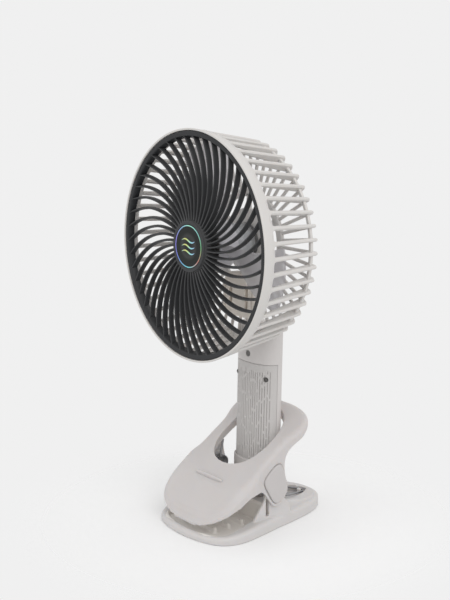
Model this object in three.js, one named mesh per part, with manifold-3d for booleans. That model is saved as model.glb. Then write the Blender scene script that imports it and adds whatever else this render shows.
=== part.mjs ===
// Clip fan: a guarded fan head on an oval battery handle, standing in a sprung clamp that is also its foot.
// Millimetres. Origin at the centre of the foot's underside, +Z up, the fan blows towards -Y.
import * as THREE from "three";
import { mergeVertices } from "three/addons/utils/BufferGeometryUtils.js";
import Module from "manifold-3d";

const wasm = await Module();
wasm.setup();

// Fits
const FIT = 0.3; // between two seated pieces
const RUN = 0.4; // round a piece that turns or slides

// Fan head, depths measured back from the front plane
const HEAD_FRONT = 69.3; // front plane ahead of the handle's axis
const HEAD_ABOVE_NECK = 62.85; // head's axis above the top of the neck
const BAND_RADIUS = 85;
const BAND_WALL = 1.5;
const BAND_DEPTH = 9.4;
const LEDGE_WIDTH = 4; // inner step that the guard rests on
const LEDGE_DEPTH = 5.4;
const SIDE_RIBS = 48;
const CAGE_TAPER = 8.9; // how far the side ribs come in from band to back
const RIB_CORNER = 3;
const RIB_DEEP = 7;
const RIB_SHALLOW = 3;
const RIB_WIDE = 3;
const RIB_NARROW = 2;
const RIB_FLARE = 6;
const RING_SECTION = 1.8;
const RING_SUNK = 2.2; // outer ring inside the ribs' outer edges
const RING_AHEAD = 4.5; // outer ring ahead of the cage's back
const INNER_RING_OUTER = 39.5;
const INNER_RING_INNER = 33.5;
const INNER_RING_THICK = 3;
const BAR_WIDTH = 2;
const BAR_THICK = 2.6;
const SEAT_RADIUS = 25;
const SEAT_THICK = 3.2;
const SEAT_SPOKES = 6;
const SEAT_SPOKE_WIDTH = 5;

// Guard
const GUARD_RIM_WIDTH = 5.4;
const GUARD_RIM_DEPTH = 4.6;
const GUARD_RIM_FRONT = 0.5;
const GUARD_RIBS = 46;
const GUARD_HUB_RADIUS = 19;
const GUARD_HUB_DEPTH = 5;
const GUARD_HUB_PROUD = 1.5;
const GUARD_RIB_EDGE = 1.4;
const GUARD_RIB_BACK = 2.2;
const GUARD_RIB_DEPTH = 4;
const GUARD_SWEEP = 22.2; // degrees at SWEEP_AT millimetres outside SWEEP_FROM
const SWEEP_FROM = 20;
const SWEEP_AT = 58;
const SWEEP_POWER = 1.35;
const BADGE_RADIUS = 15.6;
const BADGE_THICK = 1.2;
const BADGE_SUNK = 0.3;
const WAVE_COUNT = 3;
const WAVE_LENGTH = 15;
const WAVE_PITCH = 4.2;
const WAVE_HEIGHT = 1.1;
const WAVE_WIDTH = 1.1;
const WAVE_PROUD = 0.35;

// Impeller
const BLADES = 5;
const BLADE_START = 20; // degrees
const BLADE_TIP_GAP = 1.2; // blade tips to the side ribs
const BLADE_FRONT = 17;
const BLADE_BACK = 28;
const BLADE_ROOT_FRONT = 14;
const BLADE_ROOT_BACK = 30;
const BLADE_SPAN = 56; // degrees of chord at the tip
const BLADE_THICK = 1.6;
const BLADE_SWEEP = 24;
const HUB_RADIUS = 18;
const HUB_FRONT = 13;
const HUB_BACK = 31;
const HUB_WALL = 2;
const HUB_BOSS = 4.5;

// Motor
const MOTOR_RADIUS = 14;
const MOTOR_WALL = 1.2;
const MOTOR_FRONT = 32;
const MOTOR_CAN_BACK = 50.2;
const SHAFT_RADIUS = 1.5;
const BEARING_RADIUS = 3.1;
const BEARING_LENGTH = 3.2;
const MAGNET_WALL = 2.2;
const MAGNET_LENGTH = 13;
const ROTOR_RADIUS = 9.6;
const ROTOR_LENGTH = 10;
const ROTOR_POLES = 3;
const MOTOR_SCREW_OUT = 9;
const SCREW_HEAD = 2.2;
const SCREW_HEAD_THICK = 1.1;
const SCREW_SHANK = 1.1;

// Handle: oval section, lengths measured up from the tilt axis
const LEAN = 1.33; // degrees that the handle leans back
const HANDLE_WIDE = 21.3; // half width
const HANDLE_DEEP = 12.2; // half depth
const HANDLE_POWER = 2.2;
const HANDLE_WALL = 1.5;
const HANDLE_BOTTOM = 9.6;
const GRIP_TOP = 105.5;
const NECK_TOP = 136;
const NECK_ROUND = 7;
const FLOOR_THICK = 2;
const GROOVES = 17;
const GROOVE_WIDTH = 0.8;
const GROOVE_DEPTH = 0.6;
const GROOVE_TOP = 98;
const GROOVE_BOTTOM = 14;
const GROOVE_PITCH = 2.1;
const CELL_RADIUS = 9;
const CELL_LENGTH = 65;
const CELL_GAP = 0.3;
const CELL_CAP = 1.2;
const BOARD_HALF_WIDTH = 12;
const BOARD_FRONT = 4.6;
const BOARD_THICK = 1.6;
const CELL_TO_BOARD = 3.9;
const BOARD_LOW = HANDLE_BOTTOM + FLOOR_THICK + FIT + CELL_LENGTH + CELL_CAP + CELL_TO_BOARD;
const PORT_ABOVE_BOARD = 7;
const PORT_HEIGHT = BOARD_LOW + PORT_ABOVE_BOARD;
const SCREW_ABOVE_PORT = 8;
const BOARD_SCREW_HEIGHT = PORT_HEIGHT + SCREW_ABOVE_PORT;
const LENS_ABOVE_PORT = 12;
const LENS_HEIGHT = PORT_HEIGHT + LENS_ABOVE_PORT;
const BUTTON_ABOVE_LENS = 11;
const BUTTON_HEIGHT = LENS_HEIGHT + BUTTON_ABOVE_LENS;
const BOARD_ABOVE_BUTTON = 8;
const BOARD_HIGH = BUTTON_HEIGHT + BOARD_ABOVE_BUTTON;
const BOARD_SCREW_OUT = 8.5;
const BUTTON_RADIUS = 4.4;
const BUTTON_PROUD = 0.9;
const BUTTON_TRAVEL = 0.6;
const LENS_RADIUS = 1.6;
const PORT_WIDTH = 9;
const PORT_THICK = 3.2;
const PORT_WALL = 0.5;
const STUB_HALF_WIDTH = 9;
const HEAD_HEIGHT = NECK_TOP + HEAD_ABOVE_NECK; // head's axis above the tilt axis
const STUB_REACH = 7; // height of the block that carries the head
const STUB_HIGH = HEAD_HEIGHT - BAND_RADIUS + CAGE_TAPER + 5.25;
const STUB_LOW = STUB_HIGH - STUB_REACH;
const NECK_SCREW_DROP = 16; // neck's screw below the top of that block
const NECK_SCREW_HEIGHT = STUB_HIGH - NECK_SCREW_DROP;
const TONGUE_LOW = NECK_SCREW_HEIGHT - 6;
const TONGUE_FRONT = 9.4;
const TONGUE_BACK = 6.4;
const SHELL_SCREW_HEIGHT = 94;
const SHELL_SCREW_OUT = 16.4;
const SHELL_SCREW_HEAD = 1.8;

// Socket
const TILT_Y = 10.9;
const TILT_Z = 18;
const SOCKET_WALL = 1.2;
const SOCKET_FLOOR = 2.3;
const SOCKET_TOP = 28.5;
const KNUCKLE_RADIUS = 7.6;
const KNUCKLE_HALF = 14;
const TILT_PIN_RADIUS = 2.2;
const TILT_PIN_HALF = 19.4;

// Clamp
const HINGE_Y = -3;
const HINGE_Z = 38;
const CHEEK_OUT = 38.5; // outer face of the upper jaw's cheeks
const JAW_WALL = 2.4;
const EAR_THICK = 2.6;
const EAR_RADIUS = 7;
const HINGE_PIN_RADIUS = 2.4;
const HINGE_PIN_IN = 27;
const CAP_PROUD = 1.2;
const CAP_SEAT = 1.2;
const JAW_SHOULDER = 5;
const JAW_REAR_HALF = 42;
const JAW_NOSE_Y = -26; // where the straight flanks start
const JAW_NOSE_LENGTH = 34.5;
const JAW_NOSE_POWER = 2.3;
const JAW_FLANK_Y = [-8, 4, 9, 14];
const JAW_FLARE_FROM = 6;
const JAW_BACK_Y = 20; // where the flanks end
const JAW_BACK_LENGTH = 17;
const JAW_BACK_POWER = 2.6;
const JAW_QUARTER = 10; // points round a quarter of the jaw
const OPENING_Y = 2.5;
const OPENING_HALF_LENGTH = 25.5;
const OPENING_HALF_WIDTH = 26;
const OPENING_POWER = 2.3;
const OPENING_RIM = 1.8;
const OPENING_RIM_DEPTH = 7;
const RIDGE_HALF = 16;
const RIDGE_Y = -36.3;
const RIDGE_RADIUS = 1.9;
const TRAY_FLOOR = 2.4;
const DECK_TOP = 18.6;
const DECK_INSET = 3.4;
const TEETH_Y = [-45, -32, -19];
const TOOTH_HALF = 19;
const TOOTH_HEIGHT = 2.6;
const NUB_RADIUS = 1.5;
const NUB_HEIGHT = 1.6;
const POST_Y = 55.4;
const POST_RADIUS = 1.8;
const POST_TOP = 9.4;
const POCKET_FLOOR = 4;

// Spring
const WIRE_RADIUS = 0.9;
const COIL_RADIUS = 4.2;
const COIL_TURNS = 3.14;
const COIL_PITCH = 2.45;
const COIL_STEPS = 8; // per turn
const WIRE_SIDES = 5;
const COIL_START = 23.9; // inner end of each coil

// Sides of round pieces, by size
const MIDDLE = 24;
const SMALL = 16;
const FINE = 10;
const TRIM = 0.04; // points closer than this to a straight run are left out

// Outline of the foot at floor level, right half from front to back
const FOOT_OUTLINE = [
  [0, -65], [8, -64.5], [15, -63.2], [22, -61.2], [27.5, -58.9], [32.5, -55.8], [36.3, -52.2], [39.2, -48],
  [41.2, -43], [42, -37], [41.8, -29], [40.8, -20], [39, -8], [37.2, 2], [35.2, 14], [33.2, 24], [30.6, 35],
  [27.4, 45], [23.6, 53], [19, 59], [13.4, 63.4], [7, 65.8], [0, 66.5],
];
// Height of the foot's rim and width of the rim's top, both against y
const RIM_HEIGHT = [[-66, 5.4], [-52, 6.2], [-38, 8.2], [-22, 9.6], [0, 10], [40, 10], [60, 9.6], [67, 9]];
const RIM_WIDTH = [[-66, 5.5], [-50, 7], [-36, 9.4], [-20, 11], [0, 11], [67, 11]];
// Side view of the deck behind the tray, y against z
const DECK_SIDE = [
  [-5, 1], [-5, 16.6], [-3.4, DECK_TOP], [13, DECK_TOP], [22, 16.4], [34, 12.8], [46, 10.8], [58, 10.3],
  [58, 1],
];
// Side view of an ear below its round top
const EAR_SIDE = [[-23, 6], [-21, 11], [-18.3, 14.5], [-13.6, 20.6], [-11, 24.2], [-10, 31]];
const EAR_BACK = [[4.2, 31], [7, 24], [13, DECK_TOP - 0.6], [16, 8]];
// Height of the upper jaw's top against y
const JAW_TOP = [
  [-60.5, 8.5], [-59.6, 10.3], [-58.5, 12.5], [-55, 18.8], [-50, 26.4], [-44, 33.6], [-40, 37.6],
  [-30, 44.3], [-10, 57.7], [37, 89.2],
];
// Lower edge of the upper jaw in side view, front to back
const JAW_EDGE = [
  [-62, 6.8], [-60.5, 8], [-51, 13.5], [-41, 20], [-34, 24.5], [-28, 28.5], [-24, 31.2], [-20.5, 33],
  [-17, 33.3], [-14, 31.5], [-11.5, 28.5], [-9, 25], [-6, 21], [-3, 19], [0.5, 19.2], [4, 21.5], [7.5, 26],
  [9.3, 31.5], [8.6, 36], [7, 42], [6.3, 47], [6.7, 53.7], [9.4, 60.1], [14.2, 65.1], [21.9, 70.6],
  [27.3, 75.8], [31, 79.5], [38, 84],
];
// Outline of a hinge cap in side view
const CAP_OUTLINE = [
  [-0.1, 51.9], [-3.4, 50.8], [-8.2, 47.4], [-12.4, 43.4], [-13.9, 40.6], [-13.2, 37.2], [-9.6, 30.4],
  [-6, 24.6], [-4, 22.4], [-1.9, 21.7], [0.8, 22.3], [3.6, 24.4], [7.6, 28.8], [8.6, 31.4], [8, 35.4],
  [6, 42.4], [3.4, 49.2], [1.8, 51.4],
];

// Shapes by formula

/** Point on an oval whose corners fill out as the power rises. */
function ovalPoint(angle, halfX, halfY, power) {
  const c = Math.cos(angle);
  const s = Math.sin(angle);
  const x = Math.sign(c) * Math.abs(c) ** (2 / power) * halfX;
  const y = Math.sign(s) * Math.abs(s) ** (2 / power) * halfY;
  return [x, y];
}

function oval(halfX, halfY, power, count, centreY = 0) {
  const points = [];
  for (let i = 0; i < count; i += 1) {
    const [x, y] = ovalPoint((i / count) * 2 * Math.PI, halfX, halfY, power);
    points.push([x, y + centreY]);
  }
  return points;
}

/** Value read off a table of [place, value] pairs. */
function along(table, place) {
  const last = table.length - 1;
  if (place <= table[0][0]) {
    return table[0][1];
  }
  for (let i = 0; i < last; i += 1) {
    const [a, va] = table[i];
    const [b, vb] = table[i + 1];
    if (place <= b) {
      return va + ((vb - va) * (place - a)) / (b - a);
    }
  }
  return table[last][1];
}

/** Closed outline mirrored about x = 0 from its right half, drawn through as a smooth curve. */
function mirrored(half, count) {
  const left = half.slice(1, -1).reverse().map(([x, y]) => [-x, y]);
  const points = half.concat(left).map(([x, y]) => new THREE.Vector3(x, y, 0));
  const curve = new THREE.CatmullRomCurve3(points, true, "centripetal");
  return curve.getSpacedPoints(count).slice(0, count).map((p) => [p.x, p.y]);
}

/** Outline moved inwards by a distance that may change along it; the outline runs anticlockwise. */
function inset(outline, distance) {
  const n = outline.length;
  return outline.map(([x, y], i) => {
    const [ax, ay] = outline[(i + n - 1) % n];
    const [bx, by] = outline[(i + 1) % n];
    const length = Math.hypot(bx - ax, by - ay);
    const d = typeof distance === "function" ? distance(y) : distance;
    return [x - ((by - ay) / length) * d, y + ((bx - ax) / length) * d];
  });
}

const at = ([x, y], z) => new THREE.Vector3(x, y, z);

// Solids

/** A three.js geometry as a solid that can be joined and cut. */
function solidOf(geometry) {
  const bare = geometry.index ? geometry.toNonIndexed() : geometry.clone();
  bare.deleteAttribute("normal");
  bare.deleteAttribute("uv");
  const merged = mergeVertices(bare, 1e-4);
  const index = merged.index.array;
  const kept = [];
  for (let i = 0; i < index.length; i += 3) {
    const [a, b, c] = [index[i], index[i + 1], index[i + 2]];
    if (a !== b && b !== c && c !== a) {
      kept.push(a, b, c);
    }
  }
  const vertProperties = merged.attributes.position.array;
  const build = (triVerts) => {
    const mesh = new wasm.Mesh({ numProp: 3, vertProperties, triVerts: new Uint32Array(triVerts) });
    return new wasm.Manifold(mesh);
  };
  const made = build(kept);
  if (made.volume() > 0) {
    return made;
  }
  for (let i = 0; i < kept.length; i += 3) {
    [kept[i + 1], kept[i + 2]] = [kept[i + 2], kept[i + 1]];
  }
  return build(kept);
}

/** Skin over a row of rings of equal length, closed by a fan at each end. */
function skin(rings) {
  const positions = [];
  const put = (...points) => points.forEach((p) => positions.push(p.x, p.y, p.z));
  const n = rings[0].length;
  for (let r = 0; r + 1 < rings.length; r += 1) {
    for (let i = 0; i < n; i += 1) {
      const j = (i + 1) % n;
      put(rings[r][i], rings[r][j], rings[r + 1][j]);
      put(rings[r][i], rings[r + 1][j], rings[r + 1][i]);
    }
  }
  const first = rings[0];
  const last = rings[rings.length - 1];
  const middle = (ring) => ring.reduce((sum, p) => sum.add(p), new THREE.Vector3()).divideScalar(n);
  const low = middle(first);
  const high = middle(last);
  for (let i = 0; i < n; i += 1) {
    const j = (i + 1) % n;
    put(first[j], first[i], low);
    put(last[i], last[j], high);
  }
  const geometry = new THREE.BufferGeometry();
  geometry.setAttribute("position", new THREE.Float32BufferAttribute(positions, 3));
  return solidOf(geometry);
}

function flat(points, thickness, basis) {
  const shape = new THREE.Shape(points.map(([a, b]) => new THREE.Vector2(a, b)));
  const geometry = new THREE.ExtrudeGeometry(shape, { depth: thickness, bevelEnabled: false, steps: 1 });
  return solidOf(geometry.applyMatrix4(basis));
}

const X = new THREE.Vector3(1, 0, 0);
const Y = new THREE.Vector3(0, 1, 0);
const Z = new THREE.Vector3(0, 0, 1);

/** Outline in x and y, between two heights. */
function upright(points, low, high) {
  return flat(points, high - low, new THREE.Matrix4().makeTranslation(0, 0, low));
}

/** Outline in y and z, between two widths. */
function sideways(points, from, to) {
  const basis = new THREE.Matrix4().makeBasis(Y, Z, X).setPosition(from, 0, 0);
  return flat(points, to - from, basis);
}

/** Outline in x and z, between two depths. */
function facing(points, front, back) {
  const basis = new THREE.Matrix4().makeBasis(X, Z, Y.clone().negate()).setPosition(0, back, 0);
  return flat(points, back - front, basis);
}

function block(x0, x1, y0, y1, z0, z1) {
  const geometry = new THREE.BoxGeometry(x1 - x0, y1 - y0, z1 - z0);
  return solidOf(geometry.translate((x0 + x1) / 2, (y0 + y1) / 2, (z0 + z1) / 2));
}

/** Round bar between two points. */
function rod(radius, from, to, sides = 24) {
  const a = new THREE.Vector3(...from);
  const b = new THREE.Vector3(...to);
  const geometry = new THREE.CylinderGeometry(radius, radius, a.distanceTo(b), sides, 1);
  const turn = new THREE.Quaternion().setFromUnitVectors(Y, b.clone().sub(a).normalize());
  geometry.applyQuaternion(turn);
  const middle = a.clone().add(b).multiplyScalar(0.5);
  return solidOf(geometry.translate(middle.x, middle.y, middle.z));
}

/**
 * Profile of [radius, depth] pairs turned about the y axis; a profile off the axis closes on itself.
 * The facets can start at an angle, so that ribs meet them in their middles.
 */
function turned(profile, sides, startDegrees = 0) {
  const points = profile.map(([r, d]) => new THREE.Vector2(r, d));
  const onAxis = profile[0][0] === 0 && profile[profile.length - 1][0] === 0;
  if (!onAxis) {
    points.push(points[0].clone());
  }
  return solidOf(new THREE.LatheGeometry(points, sides)).rotate([0, startDegrees, 0]);
}

function moved(solid, x, y, z) {
  return solid.translate([x, y, z]);
}

function joined(solids) {
  return wasm.Manifold.union(solids);
}

/** Same solid repeated round the y axis. */
function round(solid, count) {
  const copies = [];
  for (let i = 0; i < count; i += 1) {
    copies.push(solid.rotate([0, (i * 360) / count, 0]));
  }
  return joined(copies);
}

// The part's groups

const part = new THREE.Group();
part.name = "clip_fan";
const tilting = new THREE.Group();
tilting.position.set(0, TILT_Y, TILT_Z);
tilting.rotation.x = THREE.MathUtils.degToRad(-LEAN);
part.add(tilting);
const head = new THREE.Group();
head.position.set(0, -HEAD_FRONT, HEAD_HEIGHT);
tilting.add(head);

const COLOURS = {
  shell: 0xd9d7d5,
  grip: 0xb0adab,
  guard: 0x343536,
  smoke: 0x9a989a,
  steel: 0xb9bcc0,
  dark_steel: 0x6d7073,
  copper: 0xb87333,
  cell: 0x3f6fae,
  board: 0x2f5a3a,
  black: 0x202020,
  lens: 0xe8e6dc,
};

function add(group, name, colour, solid) {
  const mesh = solid.simplify(TRIM).getMesh();
  const geometry = new THREE.BufferGeometry();
  const step = mesh.numProp;
  const positions = new Float32Array(mesh.numVert * 3);
  for (let i = 0; i < mesh.numVert; i += 1) {
    positions.set(mesh.vertProperties.subarray(i * step, i * step + 3), i * 3);
  }
  geometry.setAttribute("position", new THREE.BufferAttribute(positions, 3));
  geometry.setIndex(new THREE.BufferAttribute(new Uint32Array(mesh.triVerts), 1));
  geometry.computeVertexNormals();
  const made = new THREE.Mesh(geometry, new THREE.MeshStandardMaterial({ color: COLOURS[colour] }));
  made.name = name;
  group.add(made);
}

// Guard

/** Angle of the guard's ribs from straight up, clockwise from the front, at a radius. */
function guardAngle(radius) {
  const share = Math.max(0, radius - SWEEP_FROM) / SWEEP_AT;
  return THREE.MathUtils.degToRad(-GUARD_SWEEP * share ** SWEEP_POWER);
}

/** Point at a radius and depth, moved sideways along the circle. */
function polar(radius, angle, side, depth) {
  const x = Math.sin(angle) * radius + Math.cos(angle) * side;
  const z = Math.cos(angle) * radius - Math.sin(angle) * side;
  return new THREE.Vector3(x, depth, z);
}

const guardOuter = BAND_RADIUS - BAND_WALL - FIT;

function guardRib() {
  const front = GUARD_RIM_FRONT + 0.4;
  const back = front + GUARD_RIB_DEPTH;
  const first = GUARD_HUB_RADIUS - 1.5;
  const last = guardOuter - GUARD_RIM_WIDTH + 1.4;
  const rings = [0, 0.2, 0.46, 0.72, 1].map((share) => {
    const radius = first + (last - first) * share;
    const angle = guardAngle(radius);
    const slope = (guardAngle(radius + 0.5) - guardAngle(radius - 0.5)) * radius;
    const wider = Math.hypot(1, slope);
    const edge = (GUARD_RIB_EDGE / 2) * wider;
    const foot = (GUARD_RIB_BACK / 2) * wider;
    return [
      polar(radius, angle, -edge, front),
      polar(radius, angle, edge, front),
      polar(radius, angle, foot, back),
      polar(radius, angle, -foot, back),
    ];
  });
  return skin(rings);
}

const guardBack = GUARD_RIM_FRONT + GUARD_RIM_DEPTH;
const guardRim = turned([
  [guardOuter, GUARD_RIM_FRONT],
  [guardOuter, guardBack],
  [guardOuter - GUARD_RIM_WIDTH, guardBack],
  [guardOuter - GUARD_RIM_WIDTH + 1.8, GUARD_RIM_FRONT],
], GUARD_RIBS, THREE.MathUtils.radToDeg(guardAngle(guardOuter - GUARD_RIM_WIDTH)) + 180 / GUARD_RIBS);
const badgeSeat = BADGE_THICK + BADGE_SUNK;
const guardHub = turned([
  [0, badgeSeat - GUARD_HUB_PROUD],
  [BADGE_RADIUS + FIT, badgeSeat - GUARD_HUB_PROUD],
  [BADGE_RADIUS + FIT, -GUARD_HUB_PROUD],
  [GUARD_HUB_RADIUS - 0.5, -GUARD_HUB_PROUD],
  [GUARD_HUB_RADIUS, GUARD_HUB_DEPTH],
  [0, GUARD_HUB_DEPTH],
], GUARD_RIBS, 180 / GUARD_RIBS);
add(head, "front_grille", "guard", joined([guardRim, guardHub, round(guardRib(), GUARD_RIBS)]));

const badgeFront = BADGE_SUNK - GUARD_HUB_PROUD;
const badgeBack = badgeFront + BADGE_THICK - FIT;
const badgeParts = [rod(BADGE_RADIUS, [0, badgeFront, 0], [0, badgeBack, 0], MIDDLE)];
for (let i = 0; i < WAVE_COUNT; i += 1) {
  const rise = (i - (WAVE_COUNT - 1) / 2) * WAVE_PITCH;
  const upper = [];
  const lower = [];
  for (let k = 0; k <= 8; k += 1) {
    const x = (k / 8 - 0.5) * WAVE_LENGTH;
    const z = rise + Math.sin((k / 8) * 2 * Math.PI) * WAVE_HEIGHT;
    upper.push([x, z + WAVE_WIDTH / 2]);
    lower.push([x, z - WAVE_WIDTH / 2]);
  }
  badgeParts.push(facing(lower.concat(upper.reverse()), badgeFront - WAVE_PROUD, badgeFront + 0.4));
}
add(head, "hub_badge", "guard", joined(badgeParts));

// Rear cage

const cageDepth = HEAD_FRONT - HANDLE_DEEP - FIT;
const ribEdge = (depth) => BAND_RADIUS - (CAGE_TAPER * depth) / cageDepth;
const ribStart = BAND_DEPTH + 2;
const ribBend = cageDepth - RIB_CORNER;
const ribDeep = (depth) => (
  RIB_SHALLOW + ((RIB_DEEP - RIB_SHALLOW) * (depth - ribStart)) / (ribBend - ribStart)
);

/** One rib from the band, round the rear corner and straight along the back to the inner ring. */
function cageRib() {
  const start = BAND_DEPTH - 1.6;
  const bendEdge = ribEdge(ribBend);
  const face = cageDepth - BAR_THICK;
  const barOuter = bendEdge - RIB_DEEP;
  const barInner = INNER_RING_OUTER - 1.5;
  const section = (wide, outer, outerDepth, inner, innerDepth) => [
    polar(outer, 0, -wide / 2, outerDepth),
    polar(outer, 0, wide / 2, outerDepth),
    polar(inner, 0, wide / 2, innerDepth),
    polar(inner, 0, -wide / 2, innerDepth),
  ];
  return skin([
    section(RIB_FLARE, ribEdge(start) - 0.2, start, ribEdge(start) - RIB_SHALLOW, start),
    section(RIB_WIDE, ribEdge(ribStart), ribStart, ribEdge(ribStart) - RIB_SHALLOW, ribStart),
    section(RIB_NARROW, bendEdge, ribBend, bendEdge - RIB_DEEP, ribBend),
    section(RIB_NARROW, bendEdge - RIB_CORNER, cageDepth, barOuter, face),
    section(BAR_WIDTH, barOuter, cageDepth, barOuter, face),
    section(BAR_WIDTH, barInner, cageDepth, barInner, face),
  ]);
}

const ledgeInner = BAND_RADIUS - BAND_WALL - LEDGE_WIDTH;
const cageBand = turned([
  [BAND_RADIUS, 0],
  [ribEdge(BAND_DEPTH), BAND_DEPTH],
  [ledgeInner, BAND_DEPTH],
  [ledgeInner, LEDGE_DEPTH],
  [BAND_RADIUS - BAND_WALL, LEDGE_DEPTH],
  [BAND_RADIUS - BAND_WALL, 0],
], SIDE_RIBS, 180 / SIDE_RIBS);
const ringBack = cageDepth - RING_AHEAD;
const ringRadius = ribEdge(ringBack) - RING_SUNK;
const outerRing = turned([
  [ringRadius, ringBack],
  [ringRadius - RING_SECTION, ringBack],
  [ringRadius - RING_SECTION, ringBack - RING_SECTION],
  [ringRadius, ringBack - RING_SECTION],
], SIDE_RIBS, 180 / SIDE_RIBS);
const innerRing = turned([
  [INNER_RING_OUTER, cageDepth],
  [INNER_RING_INNER, cageDepth],
  [INNER_RING_INNER, cageDepth - INNER_RING_THICK],
  [INNER_RING_OUTER, cageDepth - INNER_RING_THICK],
], MIDDLE);
const seatFront = cageDepth - SEAT_THICK;
const motorSeat = rod(SEAT_RADIUS, [0, seatFront, 0], [0, cageDepth, 0], MIDDLE);
const spoke = block(
  -SEAT_SPOKE_WIDTH / 2, SEAT_SPOKE_WIDTH / 2, cageDepth - INNER_RING_THICK, cageDepth - 0.4,
  SEAT_RADIUS - 2, INNER_RING_INNER + 2,
);
const stubHalf = STUB_HALF_WIDTH;
const stub = block(
  -stubHalf, stubHalf, HEAD_FRONT - 20, HEAD_FRONT - TONGUE_BACK,
  STUB_LOW - HEAD_HEIGHT, STUB_HIGH - HEAD_HEIGHT,
);
const tongue = block(
  -stubHalf, stubHalf, HEAD_FRONT - TONGUE_FRONT, HEAD_FRONT - TONGUE_BACK,
  TONGUE_LOW - HEAD_HEIGHT, STUB_HIGH - HEAD_HEIGHT,
);
const tongueHole = rod(
  SCREW_SHANK + FIT,
  [0, HEAD_FRONT - TONGUE_FRONT - 2, NECK_SCREW_HEIGHT - HEAD_HEIGHT],
  [0, HEAD_FRONT - TONGUE_BACK + 2, NECK_SCREW_HEIGHT - HEAD_HEIGHT],
  FINE,
);
const motorScrewHoles = [-1, 1].map((side) => {
  const x = side * MOTOR_SCREW_OUT;
  return rod(SCREW_SHANK + FIT, [x, seatFront - 1, 0], [x, cageDepth + 1, 0], FINE);
});
let cage = joined([
  cageBand, outerRing, innerRing, motorSeat, stub, tongue,
  round(cageRib(), SIDE_RIBS), round(spoke, SEAT_SPOKES),
]);
cage = cage.subtract(joined([tongueHole, ...motorScrewHoles]));
add(head, "rear_cage", "shell", cage);

// Impeller

const bladeTip = ribEdge(BLADE_BACK) - ribDeep(BLADE_BACK) - BLADE_TIP_GAP;

function blade() {
  const stationsOut = 3;
  const chordSteps = 5;
  const rings = [];
  for (let i = 0; i <= stationsOut; i += 1) {
    const share = i / stationsOut;
    const root = HUB_RADIUS - 0.8;
    const radius = root + (bladeTip - root) * share;
    const lead = BLADE_ROOT_FRONT + (BLADE_FRONT - BLADE_ROOT_FRONT) * share;
    const trail = BLADE_ROOT_BACK + (BLADE_BACK - BLADE_ROOT_BACK) * share;
    const span = THREE.MathUtils.degToRad(BLADE_SPAN * (0.8 + 0.2 * share));
    const centre = THREE.MathUtils.degToRad(BLADE_START + BLADE_SWEEP * share * share);
    const front = [];
    const back = [];
    for (let k = 0; k <= chordSteps; k += 1) {
      const u = k / chordSteps;
      const angle = centre + (u - 0.5) * span;
      const depth = lead + (trail - lead) * u - Math.sin(Math.PI * u) * 2.2;
      const half = (BLADE_THICK / 2) * (0.35 + 0.65 * Math.sin(Math.PI * (0.12 + 0.76 * u)));
      front.push(polar(radius, angle, 0, depth - half));
      back.push(polar(radius, angle, 0, depth + half));
    }
    rings.push(front.concat(back.reverse()));
  }
  return skin(rings);
}

const shaftEnd = HUB_FRONT + HUB_WALL + 1;
const fanHub = turned([
  [0, HUB_FRONT],
  [HUB_RADIUS - 1.2, HUB_FRONT],
  [HUB_RADIUS, HUB_FRONT + 1.2],
  [HUB_RADIUS, HUB_BACK],
  [HUB_RADIUS - HUB_WALL, HUB_BACK],
  [HUB_RADIUS - HUB_WALL, HUB_FRONT + HUB_WALL],
  [HUB_BOSS, HUB_FRONT + HUB_WALL],
  [HUB_BOSS, HUB_BACK - 2],
  [SHAFT_RADIUS + FIT, HUB_BACK - 2],
  [SHAFT_RADIUS + FIT, shaftEnd - FIT],
  [0, shaftEnd - FIT],
], MIDDLE);
add(head, "fan_blade", "smoke", joined([fanHub, round(blade(), BLADES)]));

// Motor

const canInner = MOTOR_RADIUS - MOTOR_WALL;
const bearingSeat = BEARING_RADIUS + FIT;
add(head, "motor_can", "steel", turned([
  [bearingSeat, MOTOR_FRONT],
  [MOTOR_RADIUS - 1, MOTOR_FRONT],
  [MOTOR_RADIUS, MOTOR_FRONT + 1],
  [MOTOR_RADIUS, MOTOR_CAN_BACK],
  [canInner, MOTOR_CAN_BACK],
  [canInner, MOTOR_FRONT + MOTOR_WALL],
  [bearingSeat, MOTOR_FRONT + MOTOR_WALL],
], SMALL));
const magnetOuter = canInner - FIT;
const magnetFront = MOTOR_FRONT + MOTOR_WALL + FIT;
add(head, "motor_magnet", "black", turned([
  [magnetOuter, magnetFront],
  [magnetOuter, magnetFront + MAGNET_LENGTH],
  [magnetOuter - MAGNET_WALL, magnetFront + MAGNET_LENGTH],
  [magnetOuter - MAGNET_WALL, magnetFront],
], SMALL));
const rotorFront = magnetFront + (MAGNET_LENGTH - ROTOR_LENGTH) / 2 + 1;
const poleHead = turned([
  [ROTOR_RADIUS, rotorFront],
  [ROTOR_RADIUS, rotorFront + ROTOR_LENGTH],
  [ROTOR_RADIUS - 2, rotorFront + ROTOR_LENGTH],
  [ROTOR_RADIUS - 2, rotorFront],
], SMALL);
const poleGap = block(-1.2, 1.2, rotorFront - 1, rotorFront + ROTOR_LENGTH + 1, 4, ROTOR_RADIUS + 1);
const poleNeckUp = block(-2.2, 2.2, rotorFront, rotorFront + ROTOR_LENGTH, 3, ROTOR_RADIUS - 1);
const poleNeck = poleNeckUp.rotate([0, 180 / ROTOR_POLES, 0]);
const rotorCore = rod(4, [0, rotorFront, 0], [0, rotorFront + ROTOR_LENGTH, 0], SMALL);
const shaftBore = rod(
  SHAFT_RADIUS + FIT, [0, rotorFront - 2, 0], [0, rotorFront + ROTOR_LENGTH + 2, 0], SMALL,
);
const rotorPoles = poleHead.subtract(round(poleGap, ROTOR_POLES));
add(head, "motor_rotor", "copper", joined([
  rotorPoles, round(poleNeck, ROTOR_POLES), rotorCore,
]).subtract(shaftBore));
const capFront = MOTOR_CAN_BACK - 2;
const capBack = seatFront - FIT;
const bearingBack = capFront + BEARING_LENGTH;
const shaftBack = bearingBack - 0.4;
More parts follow.
